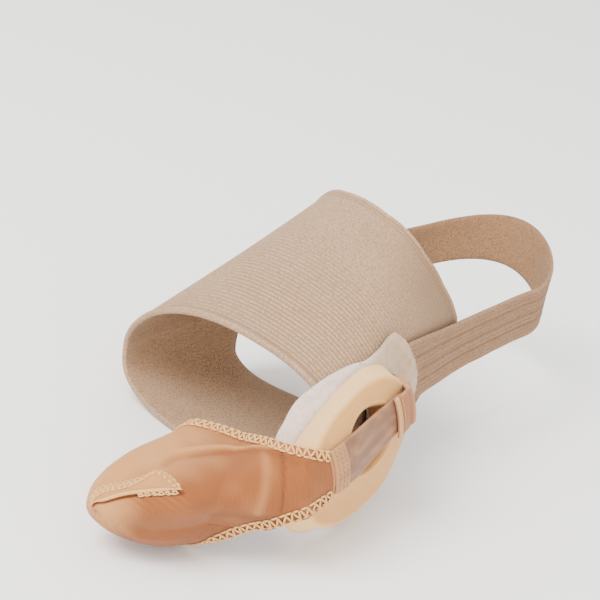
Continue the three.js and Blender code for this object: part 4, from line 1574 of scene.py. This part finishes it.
@dataclass
class ElasticLink:
    """Satin elastic link over the ring's hole, with a turned and sewn hem at its front end."""

    seat: PadSeat
    ring: RingOutline
    layers: Layers
    width: float = 15.4
    length: float = 31.5
    hem: float = 4.8
    hem_rise: float = 0.6
    rear_width: float = 11.0
    front_rise: float = 0.2
    rear_rise: float = 2.6
    forward: float = 0.58
    across: int = 44
    hem_rows: tuple[float, ...] = (1.1, 2.6, 4.0)
    deepest: float = 0.9
    # height, share of the width, width
    folds: Table = ((1.0, 0.24, 0.05), (0.7, 0.6, 0.06), (-0.8, 0.42, 0.05))
    finish: SatinElastic = field(default_factory=lambda: SatinElastic(
        "link_satin", "#7c5439", "#623a24", "#ac7a4c"))
    thread: SewingThread = field(default_factory=lambda: SewingThread("link_thread", "#c39a66", "#966c40"))

    @property
    def front(self) -> float:
        """Station of the link's front end."""
        return self.ring.hole_centre[0] - self.forward * self.length

    @property
    def rear(self) -> float:
        """Station of the link's rear end."""
        return self.front + self.length

    def middle(self, x: Array) -> Array:
        """Rise of the link's middle line at stations x."""
        return self.ring.hole_centre[1] + self.front_rise + (self.rear_rise - self.front_rise) * self.share(x)

    def share(self, x: Array) -> Array:
        """Share of the way from the front end to the rear end."""
        return (x - self.front) / self.length

    def width_at(self, x: Array) -> Array:
        """Width of the link at stations x."""
        return self.width + (self.rear_width - self.width) * self.share(x)

    def dip(self, x: Array, rise: Array) -> Array:
        """How far the link sinks where the hole leaves it without support."""
        cx, cy = self.ring.hole_centre
        away = np.hypot(x - cx, rise - cy) / (self.ring.hole_diameter / 2)
        return self.deepest * np.clip(1 - away**2, 0, 1)

    def build(self) -> list[Piece]:
        """Builds and dresses the link and its hem stitches."""
        fold = self.front + self.hem
        x = np.concatenate([
            np.linspace(self.front, fold, 26),
            np.linspace(fold, fold + 0.5, 5)[1:],
            np.linspace(fold + 0.5, self.rear, 90)[1:],
        ])
        share = np.linspace(0, 1, self.across + 1)
        hem = 1 - smoothstep(x, fold - 0.1, fold + 0.5)
        rise = self.middle(x)[:, None] + (share[None] - 0.5) * self.width_at(x)[:, None]
        edge = near_end(share) * self.width
        rounded = 0.45 * (1 - smoothstep(edge, 0.0, 0.6))
        cords = 0.025 * np.cos(2 * math.pi * 11 * share) * smoothstep(edge, 0.4, 1.0)
        grid_x = np.repeat(x[:, None], len(share), axis=1)
        tuck = sum(bump_line(x, self.front + row, 0.22) for row in self.hem_rows)
        front_round = 0.5 * (1 - smoothstep(x, self.front, self.front + 0.6))
        out = self.layers.link_out + self.hem_rise * hem[:, None] - rounded[None]
        out = out + cords[None] * (1 - hem[:, None])
        out = out - 0.22 * tuck[:, None] - front_round[:, None] - self.dip(grid_x, rise)
        back = share[::-1][::4]
        back_rise = self.middle(x)[:, None] + (back[None] - 0.5) * self.width_at(x)[:, None]
        back_x = np.repeat(x[:, None], len(back), axis=1)
        back_out = self.layers.link_in - self.dip(back_x, back_rise)
        outer = self.seat.place(grid_x, rise, out)
        inner = self.seat.place(back_x, back_rise, back_out)
        rows = np.concatenate([outer, inner], axis=1)
        folds = ridges(share, self.folds)
        # Painted highlight on the fold crests and the rounded edges, painted shade in the fold hollow and the
        # stitched tucks.
        tone = 0.4 * folds[None] + 0.45 * (1 - smoothstep(edge, 0.2, 0.9))[None] - 0.9 * tuck[:, None]
        # Painted sheen: soft highlights drawn out along the satin.
        tone = tone + 0.45 * mottle(outer * np.array([0.45, 1, 1]), 5.0, 3.0) * (1 - hem[:, None])
        # The hem is lighter, and its front edge lighter still; the inner face is painted darker.
        tone = tone + 0.9 * hem[:, None] + 0.8 * (1 - smoothstep(x, self.front, self.front + 0.9))[:, None]
        shade = np.concatenate([tone, np.full(back_rise.shape, -0.2)], axis=1)
        cloth = wall("link_elastic_cloth", rows, shade, End.FLAT)
        link = dress(cloth, self.finish.material())
        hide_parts("link_elastic")
        stitches = self.hem_stitches()
        return [link, stitches]

    def hem_stitches(self) -> Piece:
        """Rows of stitches across the hem."""
        lines = []
        for row in self.hem_rows:
            x = np.full(30, self.front + row)
            rise = self.middle(x) + np.linspace(-0.46, 0.46, 30) * self.width_at(x)
            out = self.layers.link_out + self.hem_rise - 0.12
            lines.append(Seam(self.seat.place(x, rise, out), self.seat.normal(x, rise)))
        made = Stitch(width=0.36, height=0.26).run("link_elastic_stitches", lines, 1.5, 0.92, lift=0.04)
        return dress(made, self.thread.material())


@dataclass
class AnchorTab:
    """Knit tab that holds the link's rear end and folds down over the ring's rear wall."""

    seat: PadSeat
    ring: RingOutline
    layers: Layers
    link: ElasticLink
    height: float = 12.4
    drop: float = 0.4
    lap: float = 7.0
    clearance: float = 1.0
    stations: int = 60
    seam_columns: tuple[int, ...] = (2, 5)
    # height, share of the way, width
    folds: Table = (
        (0.32, 0.4, 0.035), (-0.3, 0.5, 0.03), (0.4, 0.6, 0.04), (0.25, 0.78, 0.04), (-0.25, 0.3, 0.03),
    )
    finish: StretchKnit = field(default_factory=lambda: StretchKnit(
        "tab_knit", "#9f653c", "#7a4623", "#cf9f70"))
    thread: SewingThread = field(default_factory=lambda: SewingThread("tab_thread", "#cf9f66", "#9c6a3c"))

    def path(self, rise: Array) -> tuple[Array, Array]:
        """Stations and heights of the tab's inner face at rises, from its front end to the felt."""
        ring, layers = self.ring, self.layers
        front = np.full_like(rise, self.link.rear - self.lap / 2)
        turn = ring.rear(rise, -ring.round) - layers.knit_wall
        xs = [front + (turn - front) * share for share in np.linspace(0, 1, 8)]
        outs = [np.full_like(rise, layers.tab_in)] * 8
        mid_out = layers.ring_face + (layers.ring_in - layers.ring_face) * 0.55
        for grow, out, lean in (
            (0.0, layers.ring_face - ring.round / 2, 40),
            (ring.bevel * 0.6, mid_out, 60),
            (ring.bevel, layers.ring_in, 60),
        ):
            angle = math.radians(lean)
            xs.append(ring.rear(rise, grow) + self.clearance * math.sin(angle))
            outs.append(np.full_like(rise, out + self.clearance * math.cos(angle)))
        return np.stack(xs, -1), np.stack(outs, -1)

    def build(self) -> list[Piece]:
        """Builds and dresses the tab and the seam that holds the link."""
        middle = float(self.link.middle(np.array(self.link.rear))) - self.drop
        share = np.linspace(0, 1, self.stations)
        rise = middle + (share - 0.5) * self.height
        xs, outs = self.path(rise)
        fine = np.linspace(0, 1, 46)
        x_fine, out_fine = self.smooth_path(xs, outs, fine)
        inner = self.seat.place(x_fine, rise[:, None], out_fine)
        normal = unit(np.cross(np.gradient(inner, axis=1), np.gradient(inner, axis=0)))
        facing = self.seat.normal(x_fine, rise[:, None])
        normal *= np.sign((normal * facing).sum(-1) + 0.4 * normal[..., 0])[..., None]
        folds = ridges(fine, self.folds)
        waver = 1 + 0.5 * np.sin(share * 6.0)[:, None]
        edge = near_end(share) * self.height
        rounded = 0.5 * (1 - smoothstep(edge, 0.0, 0.7))
        thick = self.layers.knit_wall + folds[None] * waver - rounded[:, None]
        outer = inner + normal * thick[..., None]
        rows = np.concatenate([outer, inner[:, ::-1][:, ::3]], axis=1)
        # Painted highlight on the fold crests and the rounded edges, painted shade in the fold hollows.
        tone = (1.3 * folds)[None] * waver + 0.4 * (1 - smoothstep(edge, 0.3, 1.1))[:, None]
        # The front end is lighter, with a line of painted shade just behind it; the inner face is painted
        # darker.
        tone = tone + (1.3 * (1 - smoothstep(fine, 0.03, 0.07)) - 0.7 * bump_line(fine, 0.1, 0.02))[None]
        shade = np.concatenate([tone, np.full((len(rise), rows.shape[1] - len(fine)), -0.2)], axis=1)
        cloth = wall("anchor_tab_cloth", rows, shade, End.FLAT)
        tab = dress(cloth, self.finish.material())
        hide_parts("anchor_tab")
        lines = [Seam(outer[4:-4, column], normal[4:-4, column]) for column in self.seam_columns]
        stitches = Stitch(width=0.4, height=0.3).run("anchor_tab_stitches", lines, 1.5, 0.92, lift=0.05)
        dress(stitches, self.thread.material())
        return [tab, stitches]

    def smooth_path(self, xs: Array, outs: Array, fine: Array) -> tuple[Array, Array]:
        """The tab's path with its corners eased, at even shares of its length."""
        steps = np.hypot(np.diff(xs, axis=1), np.diff(outs, axis=1))
        total = np.concatenate([np.zeros((len(xs), 1)), np.cumsum(steps, axis=1)], axis=1)
        dense = np.linspace(0, 1, 121)
        made = []
        for length, line in zip(total, np.stack([xs, outs], -1)):
            made.append(follow(fine, dense, eased(follow(dense * length[-1], length, line), 6)))
        return tuple(np.array(made).transpose(2, 0, 1))


@dataclass
class ToeSleeve:
    """Knitted cap over the big toe, with a tongue that lies over the ring's front to the link."""

    form: FootForm
    seat: PadSeat
    ring: RingOutline
    layers: Layers
    link: ElasticLink
    tent_length: float = 22.0
    tent_margin: float = 3.0
    tent_clearance: float = 0.6
    tent_under: float = 60.0
    tent_power: float = 1.15
    rim_step: float = 0.75
    angle_length: float = 0.4
    crowding: float = 1.5
    along: int = 130
    hem_inset: float = 3.0
    overlock_pitch: float = 2.3
    # angle, reach
    rim_table: Table = (
        (0, 0), (45, 0.06), (75, 0.14), (88, 0.22), (97, 0.33), (103, 0.44), (110, 0.5),
        (119, 0.51), (127.5, 0.54), (133, 0.61), (137, 0.7), (139.5, 0.82), (142, 1), (158, 1),
        (159.5, 0.8), (161, 0.58), (164, 0.44), (173, 0.33), (184, 0.19), (193, 0.08), (202, 0),
        (214, -0.08), (228, -0.22), (250, -0.27), (275, -0.28), (305, -0.22), (335, -0.08),
        (360, 0),
    )
    low_inset: float = 1.6
    rim_inset: float = 0.35
    hem_swell: float = 0.35
    flat_size: tuple[float, float] = (75.0, 110.0)
    dart_roll: float = 0.55
    dart_across: int = 9
    dart_steps: int = 100
    tongue_top: float = 142.0
    tongue_bottom: float = 158.0
    # station, angle
    dart_table: Table = (
        (-117.4, 30), (-117.3, 75), (-116.9, 96), (-115.9, 102), (-114.1, 106), (-111.9, 111),
        (-110.1, 114), (-108.5, 117), (-105.4, 121), (-103.5, 124),
    )
    flap_table: Table = (
        (-116.9, 45), (-115.9, 66), (-114.5, 85), (-113.2, 92), (-111.1, 97), (-108.7, 100),
        (-106.4, 100), (-104.2, 101), (-103.4, 108), (-103.3, 121),
    )
    under_table: Table = (
        (-112.2, 117), (-109.4, 121), (-107.2, 124.5), (-104.6, 127),
    )
    ridge_table: Table = (
        (-101.5, 95), (-97.8, 94), (-92.1, 98), (-85.9, 103), (-81.0, 109), (-76.5, 124), (-72.7, 135),
    )
    # Lines of a fold painted as a highlight and of a crease painted in shade.
    lit_fold: Table = (
        (-76.9, 129), (-79.0, 135), (-81.2, 141), (-82.8, 149), (-83.4, 156),
    )
    shaded_fold: Table = (
        (-73.6, 133), (-75.6, 138), (-77.2, 143), (-78.2, 149), (-78.2, 156),
    )
    finish: StretchKnit = field(default_factory=lambda: StretchKnit(
        "sleeve_knit", "#8a4d1f", "#6b3411", "#c28850"))
    edge_finish: StretchKnit = field(default_factory=lambda: StretchKnit(
        "sleeve_edge", "#dba468", "#b0743c", "#ecc48c"))
    thread: SewingThread = field(default_factory=lambda: SewingThread("sleeve_thread", "#e8b874", "#a86c34"))

    def line(self, table: Sequence[tuple[float, float]], out: float = 0.0, below: float = 0.0) -> Seam:
        """A smooth line on the sleeve's outer face through a table's places.

        Args:
            table: Stations and angles.
            out: Distance above the outer face.
            below: Angle by which the line is moved down the side.

        Returns:
            The line.
        """
        rows = np.array(table)
        at = np.linspace(0, len(rows) - 1, 121)
        x, t = eased(follow(at, np.arange(len(rows)), rows) + np.array([0.0, below]), 7).T
        x = np.maximum(x, self.form.toe_tip + 0.08)
        normal = self.form.normal(self.form.toe, x, t)
        lift = self.lift(x, t) + self.layers.knit_wall + out
        return Seam(self.form.toe(x, t) + normal * lift[..., None], normal)

    def near(self, points: Array, line: Seam, width: float) -> Array:
        """Closeness of places to a line: 1 on it, which falls off over a width."""
        away = np.full(points.shape[:-1], 1e9)
        for place in line.points[::2]:
            away = np.minimum(away, ((points - place) ** 2).sum(-1))
        return np.exp(-away / width**2)

    def lift(self, x: Array, t: Array) -> Array:
        """Distance of the sleeve's inner face from the toe: it climbs to the ring's face."""
        outside = np.maximum(self.ring.outside(x, self.seat.rise_at(x, t)) - self.tent_margin, 0)
        under = 1 - smoothstep(t, 180, 180 + self.tent_under)
        slope = np.clip(1 - outside / self.tent_length, 0, 1)
        tent = (self.layers.ring_face + self.tent_clearance) * slope**self.tent_power * under
        return np.hypot(tent, self.layers.skin)

    def rim(self) -> tuple[Array, Array]:
        """Angles and stations at short steps along the sleeve's open rim."""
        rows = np.array(self.rim_table)
        reach = self.link.front - self.layers.gap - self.form.toe_root
        angles, stations = [], []
        for (a0, r0), (a1, r1) in zip(rows, rows[1:]):
            size = math.hypot((a1 - a0) * self.angle_length, (r1 - r0) * reach)
            steps = math.ceil(size / self.rim_step)
            share = np.arange(steps) / steps
            angles.append(a0 + (a1 - a0) * share)
            stations.append(self.form.toe_root + (r0 + (r1 - r0) * share) * reach)
        return np.concatenate(angles), np.concatenate(stations)

    def surface(self, share: Array) -> tuple[Array, Array, Array]:
        """Stations, angles and heights of the inner face, for shares of the way to the rim."""
        rim_t, rim_x = self.rim()
        even = 360 * np.arange(len(rim_t)) / len(rim_t)
        fan = smoothstep(share, 0, 1)[:, None]
        t = even[None] + (rim_t - even)[None] * fan
        x = self.form.toe_tip + (rim_x[None] - self.form.toe_tip) * share[:, None] ** self.crowding
        return x, t, self.lift(x, t)

    def creases(self, x: Array, t: Array, points: Array) -> tuple[Array, Array]:
        """Heights of the folds in the knit, and tones that paint their light and shade, with the top side and
        the tip painted lighter and the underside darker.

        Args:
            x: Stations.
            t: Angles.
            points: Places in millimetres.

        Returns:
            Heights in millimetres, and tones.
        """
        skin = -self.layers.knit_wall
        # A fold painted as a highlight and a crease painted in shade.
        first = self.near(points, self.line(self.lit_fold, skin), 1.5)
        second = -self.near(points, self.line(self.shaded_fold, skin), 0.5)
        below = smoothstep(t, 172, 190) * (1 - smoothstep(t, 262, 280)) * (1 - smoothstep(x, -98, -88))
        slanted = (points[..., 0] * 1.1 + points[..., 1] * 1.6) * 2.1
        puckers = below * np.sin(slanted + 1.2 * mottle(points, 8.0))
        waves = mottle(points, 13.0, 2.0)
        ridge = self.near(points, self.line(self.ridge_table, skin), 0.75)
        hollow = self.near(points, self.line(self.ridge_table, skin, 5.0), 1.3)
        groove = self.near(points, self.line(self.dart_table, skin, 3.0), 0.6)
        pull = self.near(points, self.line(self.under_table, skin), 3.2)
        fans = pull * np.sin((points[..., 0] * 0.6 + points[..., 2]) * 3.4 + 0.8 * waves)
        # The top side is painted lighter, the underside darker, and the tip as a painted highlight.
        top_side = np.maximum(1 - smoothstep(t, 84, 128), smoothstep(t, 265, 355))
        top_side = top_side * (1 - 0.5 * smoothstep(x, -96, -78))
        under_side = smoothstep(t, 176, 206)
        tip = 1 - smoothstep(x, -117.6, -111.0)
        # The tones paint light and shade: highlights on the lit fold, the ridge and the tip, shade in the
        # shaded fold, the hollow, the dart's groove and underneath; the puckers, waves and fans are shaded
        # with their heights.
        # part, its height, its tone
        parts = (
            (first, 0.5, 0.45), (second, 0.3, 0.95), (puckers, 0.06, 0.08), (waves, 0.12, 0.14),
            (ridge, 0.75, 1.0), (hollow, -0.35, -0.4), (groove, -0.7, -1.0), (fans, 0.1, 0.12),
            (top_side, 0.0, 1.1), (under_side, 0.0, -0.05), (tip * (1 - top_side), 0.0, 1.0),
        )
        return sum(part * size for part, size, _ in parts), sum(part * size for part, _, size in parts)

    def hemmed(self, inner: Array, height: Array, tone: Array) -> tuple[Array, Array]:
        """Thickness of the knit with the hem along its rim, and its tones, where the tongue's lip is lighter
        at its edge with a line of painted shade behind it.

        Args:
            inner: Places on the inner face.
            height: Heights of the folds there.
            tone: Tones of the folds.

        Returns:
            Thicknesses in millimetres, and tones.
        """
        steps = np.linalg.norm(np.diff(inner, axis=0), axis=-1)
        from_rim = np.concatenate([np.cumsum(steps[::-1], axis=0)[::-1], np.zeros((1, steps.shape[1]))])
        rim_t = self.rim()[0]
        tongue = ((rim_t >= self.tongue_top) & (rim_t <= self.tongue_bottom)).astype(float)[None]
        turned = (1 - smoothstep(from_rim, self.hem_inset - 0.2, self.hem_inset + 0.3)) * (1 - tongue)
        # The tongue's end is lighter along its edge, with a line of painted shade just behind it; the turned
        # hem is a little lighter.
        lip = 1.2 * (1 - smoothstep(from_rim, 0.7, 1.0)) - 0.5 * bump_line(from_rim, 1.3, 0.25)
        rounded = 0.5 * (1 - smoothstep(from_rim, 0.0, 0.7))
        thick = self.layers.knit_wall + height * (1 - turned) + self.hem_swell * turned - rounded
        return thick, tone + tongue * lip + 0.15 * turned

    def build(self) -> list[Piece]:
        """Builds and dresses the sleeve, its overlocked rim and its toe seam."""
        share = np.linspace(0, 1, self.along + 1)[1:]
        x, t, lift = self.surface(share)
        normal = self.form.normal(self.form.toe, x, t)
        inner = self.form.toe(x, t) + normal * lift[..., None]
        facing = self.facing(inner)
        thick, tone = self.hemmed(inner, *self.creases(x, t, inner))
        outer = inner + facing * thick[..., None]
        back = inner[::-1][::4]
        rows = np.concatenate([outer, back])
        tip = self.form.toe(np.array([self.form.toe_tip]), np.array([0.0]))[0]
        depths = (self.layers.skin + self.layers.knit_wall, self.layers.skin)
        poles = tuple(tip - np.array([depth, 0, 0]) for depth in depths)
        # The inner face is painted darker, as shade.
        shade = np.concatenate([tone, np.full(back.shape[:2], -0.3)])
        from_tip = np.linalg.norm(outer.mean(1) - tip, axis=-1)[:, None]
        along = np.concatenate([np.repeat(from_tip, outer.shape[1], axis=1), 0 * back[..., 0]])
        shell = Shell("toe_sleeve_cloth", rows, along, lengths_round(rows), shade, End.POLES, poles)
        sleeve = dress(shell.build(), self.finish.material())
        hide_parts("toe_sleeve")
        pieces = [self.rim_stitches(outer, facing), *self.dart()]
        return [sleeve, *pieces]

    def facing(self, grid: Array) -> Array:
        """Outward directions of the sleeve's own surface, whose columns close round the toe."""
        along = np.gradient(grid, axis=0)
        normal = unit(np.cross(np.roll(grid, -1, axis=1) - np.roll(grid, 1, axis=1), along))
        centre = grid.mean(axis=1, keepdims=True)
        sign = np.sign(((grid - centre) * normal).sum(-1).mean())
        return normal * sign

    def rim_stitches(self, outer: Array, facing: Array) -> Piece:
        """Overlocks the sleeve's rim, apart from the tongue's end, with bulky thread."""
        rim_t = self.rim()[0]
        first = int(np.argmax(rim_t > self.tongue_bottom))
        order = np.roll(np.arange(len(rim_t)), -first)
        order = order[~((rim_t[order] > self.tongue_top) & (rim_t[order] <= self.tongue_bottom))]
        low = smoothstep(rim_t, 158, 160) * (1 - smoothstep(rim_t, 215, 240))
        edge = eased(outer[-1, order], 5)
        normal = unit(eased(facing[-1, order], 5))
        inward = unit(np.cross(normal, unit(np.gradient(edge, axis=0))))
        inward *= np.sign((inward * (outer[-12, order] - edge)).sum(-1).mean())
        inward = unit(eased(inward, 7))
        lines = [
            self.on_cloth(edge + inward * (inset + more * low[order])[:, None], outer, facing)
            for inset, more in ((self.hem_inset, self.low_inset), (self.rim_inset, self.low_inset * 0.5))
        ]
        seam = overlock(*lines, self.overlock_pitch)
        made = Stitch(width=0.7, height=0.55).sew("toe_sleeve_overlock", *seam, lift=0.27)
        return dress(made, self.thread.material())

    def on_cloth(self, points: Array, outer: Array, facing: Array) -> Seam:
        """Lays a line of points on the sleeve's outer face, by the tangent plane of its nearest place."""
        places, normals = outer[-60:].reshape(-1, 3), facing[-60:].reshape(-1, 3)
        for reach in (3, 1):
            laid, faced = [], []
            for point in points:
                near = np.argsort(((places - point) ** 2).sum(-1))[:10]
                normal = unit(normals[near].mean(0))
                laid.append(point - normal * ((point - places[near].mean(0)) @ normal))
                faced.append(normal)
            points = eased(np.array(laid), reach)
        return Seam(points, unit(eased(np.array(faced), 3)))

    def dart(self) -> list[Piece]:
        """The toe's sewn dart: a flap with a rolled edge, overlocked above it and tacked below."""
        low, high = self.line(self.dart_table), self.line(self.flap_table)
        share = np.linspace(0, 1, self.dart_across)
        (low_points, low_normals), (high_points, high_normals) = (
            line.at(np.linspace(0, line.length, self.dart_steps)) for line in (low, high))
        spread = between(low_points, high_points, share)
        normal = unit(between(low_normals, high_normals, share))
        width = np.linalg.norm(high_points - low_points, axis=-1)
        outer, rise = self.dart_face(spread, normal, width, share)
        inner = (spread + normal * (np.minimum(rise - 0.35, -0.15))[..., None])[:, ::-1]
        # The flap's face is light; its inner face is painted darker, as shade.
        tone = np.concatenate([np.full(outer.shape[:2], 1.0), np.full(inner.shape[:2], -0.3)], axis=1)
        cloth = wall("toe_sleeve_dart", np.concatenate([outer, inner], axis=1), tone, End.FLAT)
        flap = dress(cloth, self.finish.material())
        edge = tube("toe_sleeve_dart_edge", self.line(self.dart_table, self.dart_roll), self.dart_roll, 0.25)
        dress(edge, self.edge_finish.material())
        return [flap, edge, self.dart_stitches(outer, normal, width, share)]

    def dart_face(self, spread: Array, normal: Array, width: Array, share: Array) -> tuple[Array, Array]:
        """Outer face of the dart's flap, and its height over the sleeve.

        Args:
            spread: Places on the sleeve from the dart's low line to its high one.
            normal: Outward directions there.
            width: Width of the flap along the dart.
            share: Shares of the way from the low line to the high one.

        Returns:
            Places and heights.
        """
        ends = smoothstep(near_end(np.linspace(0, 1, self.dart_steps)), 0.0, 0.12)
        belly = 0.045 * width[:, None] ** 2 * 4 * (share * (1 - share))[None]
        rise = belly + (0.12 + 0.6 * (1 - share[None]) ** 0.7) * ends[:, None]
        return spread + normal * rise[..., None], rise

    def dart_stitches(self, outer: Array, normal: Array, width: Array, share: Array) -> Piece:
        """Overlocks the dart's flap, and tacks the knit below it.

        Args:
            outer: Places on the flap's outer face.
            normal: Outward directions there.
            width: Width of the flap along the dart.
            share: Shares of the way from the low line to the high one.

        Returns:
            One object that holds all the stitches.
        """
        reach = np.clip(1 - 2.7 / np.maximum(width, 0.1), 0.12, 0.8)
        inner, rim = (
            np.array([follow(part, share, row) for part, row in zip(parts, outer)])
            for parts in (np.full(self.dart_steps, 0.97), reach)
        )
        flap = overlock(Seam(inner, normal[:, -1]), Seam(rim, normal[:, 4]), 1.75)
        tacks = overlock(self.line(self.under_table, 0.1), self.line(self.under_table, 0.1, -3.5), 1.9)
        seams = (np.concatenate(pair) for pair in zip(flap, tacks))
        thread = Stitch(width=0.5, height=0.42).sew("toe_sleeve_dart_stitches", *seams, lift=0.12)
        return dress(thread, self.thread.material())


# Floor, light and camera.


@dataclass(frozen=True)
class Lamp:
    """One soft square light that faces the object."""

    name: str
    place: tuple[float, float, float]
    size: float
    power: float
    colour: tuple[float, float, float]

    def hang(self) -> None:
        """Hangs the light."""
        lamp = bpy.data.lights.new(self.name, "AREA")
        lamp.size = self.size
        lamp.energy = self.power
        lamp.color = self.colour
        holder = bpy.data.objects.new(self.name, lamp)
        holder.location = Vector(self.place)
        view = Vector((0, 0, 0.02)) - Vector(self.place)
        holder.rotation_euler = view.to_track_quat("-Z", "Y").to_euler()
        bpy.context.scene.collection.objects.link(holder)


@dataclass
class Stage:
    """Pale floor, soft light and the camera."""

    floor_height: float = -2.6
    floor_size: float = 6.0
    eye: tuple[float, float, float] = (-435.56, -359.14, 280.39)
    right: tuple[float, float, float] = (0.687846, -0.707650, 0.161553)
    down: tuple[float, float, float] = (-0.177428, -0.379736, -0.907920)
    forward: tuple[float, float, float] = (0.703838, 0.595845, -0.386757)
    lens: float = 108.0
    sensor: float = 36.0
    sky: tuple[float, float, float, float] = (1.0, 0.99, 0.975, 1)
    sky_strength: float = 1.65
    lamps: tuple[Lamp, ...] = (
        Lamp("key", (-0.9, 0.15, 1.3), 0.9, 38.0, (1.0, 0.985, 0.96)),
        Lamp("fill", (-0.5, -1.3, 0.5), 1.2, 10.0, (1.0, 0.97, 0.94)),
    )

    def floor(self) -> Piece:
        """Lays the floor under the object."""
        deselect()
        bpy.ops.mesh.primitive_plane_add(size=self.floor_size, location=(0, 0, self.floor_height * MM))
        floor = bpy.context.object
        floor.name = "floor"
        bpy.ops.object.transform_apply(location=True, rotation=True, scale=True)
        floor.data.materials.append(PaleFloor().material())
        return floor

    def lights(self) -> None:
        """Lights the scene from above left, with a weak fill and a pale surrounding."""
        world = bpy.data.worlds.new("surrounding")
        world.use_nodes = True
        backdrop = world.node_tree.nodes["Background"]
        backdrop.inputs["Color"].default_value = self.sky
        backdrop.inputs["Strength"].default_value = self.sky_strength
        bpy.context.scene.world = world
        for lamp in self.lamps:
            lamp.hang()

    def camera(self) -> Piece:
        """Places the camera at the photograph's angle."""
        data = bpy.data.cameras.new("camera")
        data.lens = self.lens
        data.sensor_width = self.sensor
        camera = bpy.data.objects.new("camera", data)
        axes = Matrix((Vector(self.right), -Vector(self.down), -Vector(self.forward)))
        camera.matrix_world = Matrix.Translation(Vector(self.eye) * MM) @ axes.transposed().to_4x4()
        bpy.context.scene.collection.objects.link(camera)
        bpy.context.scene.camera = camera
        return camera


def main() -> None:
    """Builds every piece in order and reports it."""
    logging.basicConfig(level=logging.INFO, format="%(name)s %(message)s")
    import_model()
    stage = Stage()
    stage.camera()
    stage.lights()
    stage.floor()
    form, layers, ring = FootForm(), Layers(), RingOutline()
    seat = PadSeat(form, layers)
    band = InstepBand(form, layers)
    band.build()
    HeelStrap(form, layers, ring, band).build()
    FoamRing(seat, ring, layers).build()
    FeltBacking(seat, ring, layers).build()
    link = ElasticLink(seat, ring, layers)
    link.build()
    AnchorTab(seat, ring, layers, link).build()
    ToeSleeve(form, seat, ring, layers, link).build()


if __name__ == "__main__":
    main()
